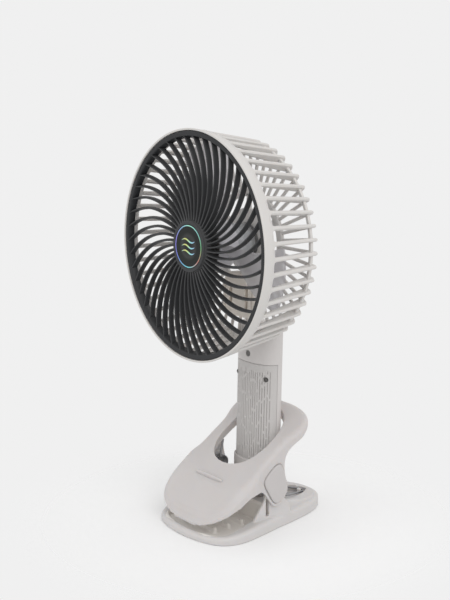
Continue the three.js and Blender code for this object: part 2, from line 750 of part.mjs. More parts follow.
add(head, "motor_shaft", "steel", rod(SHAFT_RADIUS, [0, shaftEnd, 0], [0, shaftBack, 0], SMALL));
for (const [name, front] of [["bearing_front", MOTOR_FRONT - 0.8], ["bearing_rear", capFront]]) {
  add(head, name, "copper", turned([
    [BEARING_RADIUS, front],
    [BEARING_RADIUS, front + BEARING_LENGTH],
    [SHAFT_RADIUS + FIT, front + BEARING_LENGTH],
    [SHAFT_RADIUS + FIT, front],
  ], SMALL));
}
const capBody = turned([
  [canInner - FIT, capFront],
  [canInner - FIT, MOTOR_CAN_BACK + FIT],
  [MOTOR_RADIUS, MOTOR_CAN_BACK + FIT],
  [MOTOR_RADIUS, capBack],
  [0, capBack],
  [0, bearingBack + FIT],
  [bearingSeat, bearingBack + FIT],
  [bearingSeat, capFront],
], SMALL);
const capHoles = [-1, 1].map((side) => {
  const x = side * MOTOR_SCREW_OUT;
  return rod(SCREW_SHANK + FIT, [x, capFront - 1, 0], [x, capBack + 1, 0], FINE);
});
add(head, "motor_end_cap", "black", capBody.subtract(joined(capHoles)));
for (const [name, side] of [["motor_screw_left", -1], ["motor_screw_right", 1]]) {
  const x = side * MOTOR_SCREW_OUT;
  add(head, name, "steel", moved(turned([
    [0, capFront + 0.4],
    [SCREW_SHANK, capFront + 0.4],
    [SCREW_SHANK, cageDepth + FIT],
    [SCREW_HEAD, cageDepth + FIT],
    [SCREW_HEAD, cageDepth + FIT + SCREW_HEAD_THICK],
    [0, cageDepth + FIT + SCREW_HEAD_THICK],
  ], FINE), x, 0, 0));
}

// Handle

const HANDLE_POINTS = 26;

/** Ring of the handle's oval, grown or shrunk by a margin, at a height. */
function handleRing(margin, height) {
  const points = oval(HANDLE_WIDE + margin, HANDLE_DEEP + margin, HANDLE_POWER, HANDLE_POINTS);
  return points.map((p) => at(p, height));
}

/** Oval column whose top is rounded off. */
function column(margin, bottom, top, rounding) {
  const rings = [handleRing(margin, bottom)];
  for (let i = 0; i <= 3; i += 1) {
    const angle = (i / 3) * (Math.PI / 2) * 0.94;
    const shrink = rounding * (1 - Math.cos(angle));
    rings.push(handleRing(margin - shrink, top - rounding + rounding * Math.sin(angle)));
  }
  return skin(rings);
}

const outside = column(0, HANDLE_BOTTOM, NECK_TOP, NECK_ROUND);
const inside = column(-HANDLE_WALL, HANDLE_BOTTOM + FLOOR_THICK, NECK_TOP - HANDLE_WALL, NECK_ROUND);
const far = HANDLE_WIDE + 10;
const frontHalf = block(-far, far, -far, 0, HANDLE_BOTTOM - 5, GRIP_TOP);
const frontFit = block(-far, far, -far, -FIT, HANDLE_BOTTOM - 5, GRIP_TOP - FIT);
const shell = outside.subtract(inside);

const bossBack = 8;
const bossSplit = -4.7;
const rearBosses = [];
const rearCuts = [frontHalf];
const frontBosses = [];
const frontCuts = [];
for (const side of [-1, 1]) {
  const x = side * SHELL_SCREW_OUT;
  const h = SHELL_SCREW_HEIGHT;
  rearBosses.push(rod(2.4, [x, bossSplit, h], [x, bossBack, h], FINE));
  rearCuts.push(rod(SCREW_SHANK + FIT, [x, bossSplit - 1, h], [x, bossBack - 3, h], FINE));
  frontBosses.push(rod(2.6, [x, -HANDLE_DEEP, h], [x, bossSplit - FIT, h], FINE));
  frontCuts.push(rod(SHELL_SCREW_HEAD + FIT, [x, -HANDLE_DEEP - 1, h], [x, -6.6, h], FINE));
  frontCuts.push(rod(SCREW_SHANK + FIT, [x, -8, h], [x, 0, h], FINE));
}
const boardScrewX = [-BOARD_SCREW_OUT, BOARD_SCREW_OUT];
const boardRear = BOARD_FRONT + BOARD_THICK;
const boardBosses = boardScrewX.map((x) => (
  rod(2.2, [x, boardRear + FIT, BOARD_SCREW_HEIGHT], [x, HANDLE_DEEP, BOARD_SCREW_HEIGHT], FINE)
));
const wallHole = (radius, height) => rod(radius, [0, 6.5, height], [0, HANDLE_DEEP + 3, height], SMALL);
const portHole = block(
  -PORT_WIDTH / 2 - FIT, PORT_WIDTH / 2 + FIT, 8, HANDLE_DEEP + 3,
  PORT_HEIGHT - PORT_THICK / 2 - FIT, PORT_HEIGHT + PORT_THICK / 2 + FIT,
);
const stubWindow = block(
  -stubHalf - FIT, stubHalf + FIT, -HANDLE_DEEP - 3, -HANDLE_DEEP + 5, STUB_LOW - FIT, STUB_HIGH + FIT,
);
const screwSeat = -HANDLE_DEEP + 0.9;
const neckHole = rod(SCREW_SHANK + FIT, [0, -15, NECK_SCREW_HEIGHT], [0, -9, NECK_SCREW_HEIGHT], FINE);
const neckSink = rod(SCREW_HEAD + FIT, [0, -15, NECK_SCREW_HEIGHT], [0, screwSeat, NECK_SCREW_HEIGHT], SMALL);
const boardScrewHoles = boardScrewX.map((x) => (
  rod(SCREW_SHANK + FIT, [x, 2, BOARD_SCREW_HEIGHT], [x, HANDLE_DEEP - 2.6, BOARD_SCREW_HEIGHT], FINE)
));
const bossRoom = joined([
  column(-HANDLE_WALL - FIT, HANDLE_BOTTOM, NECK_TOP, NECK_ROUND),
  outside.subtract(frontHalf),
]);
const rearBoss = joined(rearBosses).intersect(bossRoom);
let rearShell = joined([
  shell,
  rearBoss,
  joined(boardBosses).intersect(outside),
]);
rearShell = rearShell.subtract(joined([
  frontHalf.subtract(rearBoss), ...rearCuts.slice(1), ...boardScrewHoles, stubWindow, neckHole,
  neckSink, portHole, wallHole(BUTTON_RADIUS + RUN, BUTTON_HEIGHT), wallHole(LENS_RADIUS + FIT, LENS_HEIGHT),
]));
add(tilting, "handle_rear_shell", "grip", rearShell);

const grooves = [];
for (let i = 0; i < GROOVES; i += 1) {
  const x = (i - (GROOVES - 1) / 2) * GROOVE_PITCH;
  const angle = Math.acos(Math.min(1, Math.abs(x / HANDLE_WIDE) ** (HANDLE_POWER / 2)));
  const depth = ovalPoint(angle, 1, HANDLE_DEEP, HANDLE_POWER)[1];
  const drop = 4 * Math.abs(Math.sin(i * 2.4));
  const rise = 26 * Math.abs(Math.sin(i * 1.7 + 0.6));
  grooves.push(block(
    x - GROOVE_WIDTH / 2, x + GROOVE_WIDTH / 2, -depth - 3, -depth + GROOVE_DEPTH,
    GROOVE_BOTTOM + rise, GROOVE_TOP - drop,
  ));
}
let frontShell = joined([shell.intersect(frontFit), joined(frontBosses).intersect(outside)]);
frontShell = frontShell.subtract(joined([...frontCuts, ...grooves]));
add(tilting, "handle_front_shell", "grip", frontShell);

const cellLow = HANDLE_BOTTOM + FLOOR_THICK + FIT;
for (const [name, side] of [["battery_cell_left", -1], ["battery_cell_right", 1]]) {
  const x = side * (CELL_RADIUS + CELL_GAP / 2);
  add(tilting, name, "cell", joined([
    rod(CELL_RADIUS, [x, 0, cellLow], [x, 0, cellLow + CELL_LENGTH], SMALL),
    rod(2.8, [x, 0, cellLow + CELL_LENGTH - 1], [x, 0, cellLow + CELL_LENGTH + CELL_CAP], FINE),
  ]));
}

const board = block(
  -BOARD_HALF_WIDTH, BOARD_HALF_WIDTH, BOARD_FRONT, BOARD_FRONT + BOARD_THICK, BOARD_LOW, BOARD_HIGH,
);
const switchBody = block(
  -2.6, 2.6, BOARD_FRONT + BOARD_THICK - 0.2, BOARD_FRONT + BOARD_THICK + 1, BUTTON_HEIGHT - 2.6,
  BUTTON_HEIGHT + 2.6,
);
const chargeChip = block(
  -3, 5, BOARD_FRONT - 1.1, BOARD_FRONT + 0.2, BOARD_SCREW_HEIGHT - 5, BOARD_SCREW_HEIGHT + 2,
);
const boardSolid = joined([board, switchBody, chargeChip]).subtract(joined(boardScrewHoles));
add(tilting, "control_board", "board", boardSolid);
boardScrewX.forEach((x, i) => {
  add(tilting, i === 0 ? "board_screw_left" : "board_screw_right", "steel", moved(turned([
    [0, BOARD_FRONT - FIT - SCREW_HEAD_THICK],
    [SCREW_HEAD, BOARD_FRONT - FIT - SCREW_HEAD_THICK],
    [SCREW_HEAD, BOARD_FRONT - FIT],
    [SCREW_SHANK, BOARD_FRONT - FIT],
    [SCREW_SHANK, HANDLE_DEEP - 3],
    [0, HANDLE_DEEP - 3],
  ], FINE), x, 0, BOARD_SCREW_HEIGHT));
});

const innerBack = HANDLE_DEEP - HANDLE_WALL;
const switchTop = BOARD_FRONT + BOARD_THICK + 1;
add(tilting, "power_button", "shell", moved(turned([
  [0, switchTop + BUTTON_TRAVEL + 0.2],
  [1.6, switchTop + BUTTON_TRAVEL + 0.2],
  [1.6, innerBack - 1.9],
  [BUTTON_RADIUS + 1, innerBack - 1.9],
  [BUTTON_RADIUS + 1, innerBack - 0.9],
  [BUTTON_RADIUS, innerBack - 0.9],
  [BUTTON_RADIUS, HANDLE_DEEP + BUTTON_PROUD - 0.5],
  [BUTTON_RADIUS - 0.6, HANDLE_DEEP + BUTTON_PROUD],
  [0, HANDLE_DEEP + BUTTON_PROUD],
], SMALL), 0, 0, BUTTON_HEIGHT));
add(tilting, "indicator_lens", "lens", moved(turned([
  [0, innerBack - 1],
  [LENS_RADIUS + 0.8, innerBack - 1],
  [LENS_RADIUS + 0.8, innerBack - FIT],
  [LENS_RADIUS, innerBack - FIT],
  [LENS_RADIUS, HANDLE_DEEP],
  [LENS_RADIUS - 0.5, HANDLE_DEEP + 0.3],
  [0, HANDLE_DEEP + 0.3],
], FINE), 0, 0, LENS_HEIGHT));
const portFront = BOARD_FRONT + BOARD_THICK + FIT;
const portLow = PORT_HEIGHT - PORT_THICK / 2;
const portHigh = PORT_HEIGHT + PORT_THICK / 2;
const portShell = block(-PORT_WIDTH / 2, PORT_WIDTH / 2, portFront, HANDLE_DEEP - 0.3, portLow, portHigh);
const portHollow = block(
  -PORT_WIDTH / 2 + PORT_WALL, PORT_WIDTH / 2 - PORT_WALL, portFront + 1, HANDLE_DEEP + 2,
  portLow + PORT_WALL, portHigh - PORT_WALL,
);
const portTongue = block(-3.2, 3.2, portFront + 0.5, HANDLE_DEEP - 1, PORT_HEIGHT - 0.35, PORT_HEIGHT + 0.35);
add(tilting, "usb_port", "steel", joined([portShell.subtract(portHollow), portTongue]));

add(tilting, "neck_screw", "steel", moved(turned([
  [0, screwSeat - FIT - 0.5],
  [SCREW_HEAD, screwSeat - FIT - 0.5],
  [SCREW_HEAD, screwSeat - FIT],
  [SCREW_SHANK, screwSeat - FIT],
  [SCREW_SHANK, -TONGUE_BACK + 0.4],
  [0, -TONGUE_BACK + 0.4],
], FINE), 0, 0, NECK_SCREW_HEIGHT));
for (const [name, side] of [["shell_screw_left", -1], ["shell_screw_right", 1]]) {
  add(tilting, name, "steel", moved(turned([
    [0, -8],
    [SHELL_SCREW_HEAD, -8],
    [SHELL_SCREW_HEAD, -6.6 - FIT],
    [SCREW_SHANK, -6.6 - FIT],
    [SCREW_SHANK, 2],
    [0, 2],
  ], FINE), side * SHELL_SCREW_OUT, 0, SHELL_SCREW_HEIGHT));
}

// Socket

const socketMargin = FIT + SOCKET_WALL;
const socketBottom = HANDLE_BOTTOM - FIT - SOCKET_FLOOR;
const socketBody = skin([
  handleRing(socketMargin - 1.6, socketBottom),
  handleRing(socketMargin, socketBottom + 1.6),
  handleRing(socketMargin, SOCKET_TOP - 0.6),
  handleRing(socketMargin - 0.6, SOCKET_TOP),
]);
const socketHollow = skin([handleRing(FIT, HANDLE_BOTTOM - FIT), handleRing(FIT, SOCKET_TOP + 2)]);
const knuckle = rod(KNUCKLE_RADIUS, [-KNUCKLE_HALF, 0, 0], [KNUCKLE_HALF, 0, 0], SMALL);
const knuckleWeb = block(
  -KNUCKLE_HALF, KNUCKLE_HALF, -KNUCKLE_RADIUS, KNUCKLE_RADIUS, 0, socketBottom + 1,
);
const pinBore = rod(TILT_PIN_RADIUS + FIT, [-20, 0, 0], [20, 0, 0], SMALL);
let socket = joined([socketBody.subtract(socketHollow), knuckle, knuckleWeb]);
socket = socket.subtract(pinBore);
add(tilting, "handle_socket", "shell", socket);
const tiltPin = rod(TILT_PIN_RADIUS, [-TILT_PIN_HALF, 0, 0], [TILT_PIN_HALF, 0, 0], SMALL);
add(part, "tilt_pin", "steel", moved(tiltPin, 0, TILT_Y, TILT_Z));

// Lower jaw

const FOOT_POINTS = 46;
const foot = mirrored(FOOT_OUTLINE, FOOT_POINTS);
const rimHeight = (y) => along(RIM_HEIGHT, y);
const rimWidth = (y) => along(RIM_WIDTH, y);

function footRing(distance, drop) {
  const ring = inset(foot, distance);
  return ring.map((p, i) => at(p, rimHeight(foot[i][1]) - drop));
}

const footBody = skin([
  inset(foot, 0.5).map((p) => at(p, 0)),
  foot.map((p) => at(p, 0.8)),
  footRing(0, 3),
  footRing(0.9, 1),
  footRing(2.8, 0),
  footRing((y) => rimWidth(y) - 1.4, 0),
  footRing((y) => rimWidth(y), 1),
  inset(foot, (y) => rimWidth(y) + 0.4).map((p) => at(p, TRAY_FLOOR)),
]);
const deckPlan = upright(inset(foot, DECK_INSET), 1, 40);
const deck = sideways(DECK_SIDE, -40, 40).intersect(deckPlan);

const earOut = CHEEK_OUT - JAW_WALL - 0.5;
const earIn = earOut - EAR_THICK;
const earTop = [];
for (let i = 0; i <= 10; i += 1) {
  const angle = Math.PI - (i / 10) * Math.PI;
  earTop.push([HINGE_Y + EAR_RADIUS * Math.cos(angle), HINGE_Z + EAR_RADIUS * Math.sin(angle)]);
}
const earOutline = EAR_SIDE.concat(earTop, EAR_BACK);
const teeth = TEETH_Y.map((y) => sideways([
  [y - 2, TRAY_FLOOR - 1], [y + 2, TRAY_FLOOR - 1], [y + 0.6, TRAY_FLOOR + TOOTH_HEIGHT],
  [y - 0.6, TRAY_FLOOR + TOOTH_HEIGHT],
], -TOOTH_HALF, TOOTH_HALF));
const nubs = TEETH_Y.flatMap((y) => [-1, 1].map((side) => {
  const x = side * (TOOTH_HALF - 1);
  return rod(NUB_RADIUS, [x, y, TRAY_FLOOR], [x, y, TRAY_FLOOR + TOOTH_HEIGHT + NUB_HEIGHT], 10);
}));
const lugIn = KNUCKLE_HALF + RUN;
const lugs = [-1, 1].map((side) => (
  rod(5, [side * lugIn, TILT_Y, TILT_Z], [side * (TILT_PIN_HALF + 0.4), TILT_Y, TILT_Z], SMALL)
));
const well = block(
  -lugIn, lugIn, TILT_Y - KNUCKLE_RADIUS - 1.6, TILT_Y + KNUCKLE_RADIUS + 1.6,
  TILT_Z - KNUCKLE_RADIUS - 1, 60,
);
const pocket = upright([
  [-19, 28], [19, 28], [16, 38], [10.5, 50], [6, 58], [3, 60.4], [0, 61], [-3, 60.4], [-6, 58], [-10.5, 50],
  [-16, 38],
], POCKET_FLOOR, 60);
const post = rod(POST_RADIUS, [0, POST_Y, POCKET_FLOOR - 1], [0, POST_Y, POST_TOP], FINE);
const tiltBoreHalf = TILT_PIN_HALF + FIT;
const tiltBore = rod(
  TILT_PIN_RADIUS + FIT, [-tiltBoreHalf, TILT_Y, TILT_Z], [tiltBoreHalf, TILT_Y, TILT_Z], SMALL,
);
const footCuts = [well, pocket, tiltBore];
const ears = [];
for (const side of [-1, 1]) {
  const [a, b] = side < 0 ? [-earOut, -earIn] : [earIn, earOut];
  ears.push(sideways(earOutline, a, b));
  footCuts.push(block(a - 1, b + 1, -9.9, -6.6, 11.5, 25.5));
  footCuts.push(rod(HINGE_PIN_RADIUS + FIT, [a - 1, HINGE_Y, HINGE_Z], [b + 1, HINGE_Y, HINGE_Z], SMALL));
}
let lower = joined([footBody, deck, ...ears, ...teeth, ...nubs, ...lugs]);
lower = lower.subtract(joined(footCuts));
add(part, "lower_jaw", "shell", joined([lower, post]));

// Upper jaw

/** Half width of the upper jaw, wider behind the cheeks. */
function jawHalf(y) {
  const share = THREE.MathUtils.clamp((y - JAW_FLARE_FROM) / (JAW_BACK_Y - JAW_FLARE_FROM), 0, 1);
  return CHEEK_OUT + (JAW_REAR_HALF - CHEEK_OUT) * share * share * (3 - 2 * share);
}

/** Plan outline of the upper jaw: a blunt nose, straight flanks and a wider, squarer back. */
function jawOutline() {
  const half = [];
  for (let i = 0; i <= JAW_QUARTER; i += 1) {
    const angle = (i / JAW_QUARTER - 1) * (Math.PI / 2);
    const [x, y] = ovalPoint(angle, CHEEK_OUT, JAW_NOSE_LENGTH, JAW_NOSE_POWER);
    half.push([x, y + JAW_NOSE_Y]);
  }
  JAW_FLANK_Y.forEach((y) => half.push([jawHalf(y), y]));
  for (let i = 0; i <= JAW_QUARTER; i += 1) {
    const [x, y] = ovalPoint((i / JAW_QUARTER) * (Math.PI / 2), 1, JAW_BACK_LENGTH, JAW_BACK_POWER);
    half.push([x * jawHalf(JAW_BACK_Y), y + JAW_BACK_Y]);
  }
  half[0][0] = 0;
  half[half.length - 1][0] = 0;
  return half.concat(half.slice(1, -1).reverse().map(([x, y]) => [-x, y]));
}

/** Body under the jaw's top surface, shrunk by a margin. */
function jawBody(margin, bottom) {
  const outline = inset(jawOutline(), margin);
  const shoulder = JAW_SHOULDER - margin;
  const drop = margin * 1.2;
  const rings = [outline.map((p) => at(p, bottom))];
  for (let i = 0; i <= 3; i += 1) {
    const angle = (i / 3) * (Math.PI / 2);
    const ring = inset(outline, shoulder * (1 - Math.cos(angle)));
    const fall = drop + shoulder * (1 - Math.sin(angle));
    rings.push(ring.map((p) => at(p, Math.max(bottom + 1 + i * 0.1, along(JAW_TOP, p[1]) - fall))));
  }
  const last = inset(outline, shoulder);
  for (const share of [0.76, 0.5, 0.24]) {
    rings.push(last.map(([x, y]) => {
      const cy = -6 + (y + 6) * share;
      return new THREE.Vector3(x * share, cy, along(JAW_TOP, cy) - drop);
    }));
  }
  return skin(rings);
}

const jawOuter = jawBody(0, 0);
const jawInner = jawBody(JAW_WALL, -10);
const jawSide = JAW_EDGE.concat([[50, 100], [-70, 100], [-70, 6.8]]);
const openingPlan = (margin) => upright(
  oval(OPENING_HALF_WIDTH + margin, OPENING_HALF_LENGTH + margin, OPENING_POWER, MIDDLE, OPENING_Y), 20, 120,
);
const belowRim = moved(jawOuter, 0, 0, -OPENING_RIM_DEPTH);
const openingRim = openingPlan(OPENING_RIM).intersect(jawOuter).subtract(belowRim);
const ridge = rod(
  RIDGE_RADIUS,
  [-RIDGE_HALF, RIDGE_Y, along(JAW_TOP, RIDGE_Y) - 0.9],
  [RIDGE_HALF, RIDGE_Y, along(JAW_TOP, RIDGE_Y) - 0.9],
  FINE,
);

function capShape(margin) {
  const n = CAP_OUTLINE.length;
  return CAP_OUTLINE.map(([y, z], i) => {
    const [ay, az] = CAP_OUTLINE[(i + n - 1) % n];
    const [by, bz] = CAP_OUTLINE[(i + 1) % n];
    const length = Math.hypot(by - ay, bz - az);
    return [y - ((bz - az) / length) * -margin, z + ((by - ay) / length) * -margin];
  });
}

const capSeat = CHEEK_OUT - CAP_SEAT;
let upper = jawOuter.subtract(jawInner);
upper = upper.intersect(sideways(jawSide, -60, 60));
upper = joined([upper, openingRim, ridge]);
const upperCuts = [openingPlan(0)];
for (const side of [-1, 1]) {
  const [a, b] = side < 0 ? [-60, -capSeat] : [capSeat, 60];
  upperCuts.push(sideways(capShape(RUN), a, b));
  const pinFrom = [side * (CHEEK_OUT - 8), HINGE_Y, HINGE_Z];
  const pinTo = [side * (CHEEK_OUT + 10), HINGE_Y, HINGE_Z];
  upperCuts.push(rod(HINGE_PIN_RADIUS + FIT, pinFrom, pinTo, SMALL));
}
upper = upper.subtract(joined(upperCuts));
add(part, "upper_jaw", "shell", upper);

const capOutside = CHEEK_OUT + CAP_PROUD;
for (const [name, side] of [["hinge_cap_left", -1], ["hinge_cap_right", 1]]) {
  const rings = [
    [capSeat + FIT, 0], [capOutside - 0.8, 0], [capOutside, -1],
  ].map(([x, margin]) => capShape(margin).map(([y, z]) => new THREE.Vector3(side * x, y, z)));
  add(part, name, "shell", skin(rings));
}
for (const [name, side] of [["hinge_pin_left", -1], ["hinge_pin_right", 1]]) {
  add(part, name, "steel", rod(
    HINGE_PIN_RADIUS, [side * HINGE_PIN_IN, HINGE_Y, HINGE_Z], [side * capSeat, HINGE_Y, HINGE_Z], SMALL,
  ));
}

// Spring

/** One side of the spring, from the end of its arm through the coil to the back of the leg. */
function springSide() {
  const points = [
    new THREE.Vector3(26.6, -0.9, 55.4),
    new THREE.Vector3(25.2, -4.6, 50),
    new THREE.Vector3(COIL_START - 0.1, -6.9, 44),
  ];
  const turns = COIL_TURNS;
  const steps = Math.round(turns * COIL_STEPS);
  for (let i = 0; i <= steps; i += 1) {
    const angle = Math.PI + (i / steps) * turns * 2 * Math.PI;
    points.push(new THREE.Vector3(
      COIL_START + (i / steps) * turns * COIL_PITCH,
      HINGE_Y + COIL_RADIUS * Math.cos(angle),
      HINGE_Z + COIL_RADIUS * Math.sin(angle),
    ));
  }
  points.push(new THREE.Vector3(COIL_START + COIL_TURNS * COIL_PITCH - 0.2, 3.4, 28.3));
  points.push(new THREE.Vector3(27, 16, 20.6));
  points.push(new THREE.Vector3(23, 25, 17.6));
  points.push(new THREE.Vector3(6.4, 51.5, 9.2));
  points.push(new THREE.Vector3(3.2, POST_Y + 2.4, 7.6));
  return points;
}

/** Tube along a row of points, its section carried on without twist. */
function tube(points, radius, sides) {
  const last = points.length - 1;
  const way = points.map((p, i) => {
    const before = points[Math.max(0, i - 1)];
    const after = points[Math.min(last, i + 1)];
    return after.clone().sub(before).normalize();
  });
  let up = new THREE.Vector3(0.3, 1, 0.2).cross(way[0]).normalize();
  const rings = points.map((p, i) => {
    up = up.clone().addScaledVector(way[i], -up.dot(way[i])).normalize();
    const across = new THREE.Vector3().crossVectors(way[i], up);
    const ring = [];
    for (let k = 0; k < sides; k += 1) {
      const angle = (k / sides) * 2 * Math.PI;
      ring.push(p.clone().addScaledVector(up, Math.cos(angle) * radius)
        .addScaledVector(across, Math.sin(angle) * radius));
    }
    return ring;
  });
  return skin(rings);
}

/** Least clear distance of a wire to itself, between stretches more than two steps apart. */
function leastGap(points, radius) {
  const dense = [];
  for (let i = 0; i + 1 < points.length; i += 1) {
    for (let k = 0; k < 6; k += 1) {
      dense.push(points[i].clone().lerp(points[i + 1], k / 6));
    }
  }
  let run = 0;
  const place = dense.map((p, i) => {
    run += i ? p.distanceTo(dense[i - 1]) : 0;
    return run;
  });
  let least = Infinity;
  for (let i = 0; i < dense.length; i += 1) {
    for (let j = i + 1; j < dense.length; j += 1) {
      if (place[j] - place[i] > 6 * radius) {
        least = Math.min(least, dense[i].distanceTo(dense[j]) - 2 * radius);
      }
    }
  }
  return least;
}

const rightSide = springSide();
const apex = new THREE.Vector3(0, POST_Y + 3.8, 7.2);
const leftSide = rightSide.map((p) => new THREE.Vector3(-p.x, p.y, p.z)).reverse();
const springPath = rightSide.concat([apex], leftSide);
add(part, "clip_spring", "dark_steel", tube(springPath, WIRE_RADIUS, WIRE_SIDES));
console.log("spring: least gap to itself " + leastGap(springPath, WIRE_RADIUS).toFixed(2) + " mm");

export default part;
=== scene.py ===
"""Clip fan: smooth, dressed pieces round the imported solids.

A guarded fan head stands on a grip, and the grip stands in a sprung clamp.
"""

import logging
import math
from dataclasses import dataclass
from enum import Enum
from typing import Callable, Iterable, Sequence

import bmesh
import bpy
import numpy as np
from mathutils import Matrix, Vector


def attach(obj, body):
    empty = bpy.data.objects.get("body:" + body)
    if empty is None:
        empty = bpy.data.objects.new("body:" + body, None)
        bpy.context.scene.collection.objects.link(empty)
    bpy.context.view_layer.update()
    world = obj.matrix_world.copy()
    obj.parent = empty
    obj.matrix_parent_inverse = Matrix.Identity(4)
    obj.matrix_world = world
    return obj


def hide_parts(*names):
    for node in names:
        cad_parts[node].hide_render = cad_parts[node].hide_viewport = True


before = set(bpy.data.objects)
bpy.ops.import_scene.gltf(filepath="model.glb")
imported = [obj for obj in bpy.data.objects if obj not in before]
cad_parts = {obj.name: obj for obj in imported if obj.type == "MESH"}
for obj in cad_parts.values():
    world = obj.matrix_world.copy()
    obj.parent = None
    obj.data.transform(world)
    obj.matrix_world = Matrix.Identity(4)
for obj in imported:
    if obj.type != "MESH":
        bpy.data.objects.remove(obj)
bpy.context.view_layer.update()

LOG = logging.getLogger("clip_fan")
Points = np.ndarray
Pair = tuple[float, float]
Triple = tuple[float, float, float]
Tint = tuple[float, float, float, float]

# Sizes here and below are millimetres, unless a name or a comment says otherwise.
MM = 0.001
LEAN = math.radians(1.33)
TILT_AXIS: Triple = (0.0, 10.9, 18.0)
HEAD_FRONT = 69.3
HEAD_HEIGHT = 198.85
SCREW_HOLE = 1.4
MOTOR_SCREW_OFF = 9.0
MOTOR_SCREW_STEPS = 24
SMOOTHING = 0.5
# A direction that no wire of the part runs along.
ASKEW: Triple = (0.3, 1.0, 0.2)


class BodyName(Enum):
    """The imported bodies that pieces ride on."""

    FOOT = "foot"
    LEVER = "clamp_lever"
    HANDLE = "handle"
    IMPELLER = "impeller"
    BUTTON = "button"


class Cut(Enum):
    """Ways of combining two solids."""

    JOIN = "UNION"
    CARVE = "DIFFERENCE"
    KEEP = "INTERSECT"


@dataclass(frozen=True)
class Axes:
    """A sub-assembly's own axes inside the part's frame, in millimetres."""

    shift: Triple = (0.0, 0.0, 0.0)
    leaned: bool = False

    def world(self, points: Points) -> Points:
        """Points of these axes in the part's frame, in metres.

        Args:
            points: N x 3 array in millimetres.

        Returns:
            N x 3 array in metres.
        """
        p = np.asarray(points, float) + np.array(self.shift)
        if self.leaned:
            x, y, z = p.T
            c, s = math.cos(LEAN), math.sin(LEAN)
            p = np.c_[x, y * c + z * s, z * c - y * s] + np.array(TILT_AXIS)
        return p * MM


FLOOR_AXES = Axes()
HANDLE_AXES = Axes(leaned=True)
HEAD_AXES = Axes(shift=(0.0, -HEAD_FRONT, HEAD_HEIGHT), leaned=True)


# Curves by formula


def angles(count: int) -> Points:
    """Angles spread evenly round a circle."""
    return np.linspace(0, 2 * math.pi, count, endpoint=False)


def box(first: Pair, second: Pair) -> list[Pair]:
    """Corners of a rectangle between two values of each coordinate."""
    return [(first[0], second[0]), (first[1], second[0]), (first[1], second[1]), (first[0], second[1])]


def read(table: Sequence[Pair] | Points, at: Points) -> Points:
    """Values of a table of places and values, by straight lines between its rows."""
    return np.interp(at, *np.asarray(table, float).T)


def oval(half_x: float, half_y: float, power: float, count: int, centre_y: float = 0.0) -> Points:
    """Closed oval whose corners fill out as the power rises, evenly spaced along its length.

    Args:
        half_x: Half of its width.
        half_y: Half of its depth.
        power: 2 gives an ellipse.
        count: Points round it.
        centre_y: Place of its centre.

    Returns:
        count x 2 array, anticlockwise from +x.
    """
    t = angles(1440)
    c, s = np.cos(t), np.sin(t)
    x = np.sign(c) * np.abs(c) ** (2 / power) * half_x
    y = np.sign(s) * np.abs(s) ** (2 / power) * half_y
    return even(np.c_[x, y + centre_y], count)


def even(outline: Points, count: int) -> Points:
    """Closed outline with points at equal distances along it.

    Args:
        outline: N x 2 array, not repeated at its end.
        count: Points wanted.

    Returns:
        count x 2 array.
    """
    ring = np.vstack([outline, outline[:1]])
    run = np.r_[0, np.cumsum(np.linalg.norm(np.diff(ring, axis=0), axis=1))]
    at = np.linspace(0, run[-1], count, endpoint=False)
    return np.c_[np.interp(at, run, ring[:, 0]), np.interp(at, run, ring[:, 1])]


def flowing(points: Sequence[Sequence[float]], per_span: int = 8, closed: bool = False) -> Points:
    """Smooth curve through points, by centripetal Catmull-Rom spans.

    Args:
        points: The points that it passes.
        per_span: Points made for each span.
        closed: Whether it returns to its start.

    Returns:
        M x D array.
    """
    p = np.asarray(points, float)
    if closed:
        ext = np.vstack([p[-1:], p, p[:2]])
    else:
        ext = np.vstack([2 * p[:1] - p[1:2], p, 2 * p[-1:] - p[-2:-1]])
    spans = len(p) if closed else len(p) - 1
    out = []
    for i in range(spans):
        a, b, c, d = ext[i : i + 4]
        ta = 0.0
        tb = ta + max(np.linalg.norm(b - a), 1e-9) ** 0.5
        tc = tb + max(np.linalg.norm(c - b), 1e-9) ** 0.5
        td = tc + max(np.linalg.norm(d - c), 1e-9) ** 0.5
        for t in np.linspace(tb, tc, per_span, endpoint=False):
            ab = (tb - t) / (tb - ta) * a + (t - ta) / (tb - ta) * b
            bc = (tc - t) / (tc - tb) * b + (t - tb) / (tc - tb) * c
            cd = (td - t) / (td - tc) * c + (t - tc) / (td - tc) * d
            abc = (tc - t) / (tc - ta) * ab + (t - ta) / (tc - ta) * bc
            bcd = (td - t) / (td - tb) * bc + (t - tb) / (td - tb) * cd
            out.append((tc - t) / (tc - tb) * abc + (t - tb) / (tc - tb) * bcd)
    if not closed:
        out.append(p[-1])
    return np.array(out)


def inset(outline: Points, distance: float | Points) -> Points:
    """Anticlockwise outline moved inwards.

    Args:
        outline: N x 2 array.
        distance: One distance, or one for each point.

    Returns:
        N x 2 array.
    """
    ahead, behind = np.roll(outline, -1, axis=0), np.roll(outline, 1, axis=0)
    way = ahead - behind
    way /= np.linalg.norm(way, axis=1)[:, None]
    return outline + np.c_[-way[:, 1], way[:, 0]] * np.reshape(distance, (-1, 1))


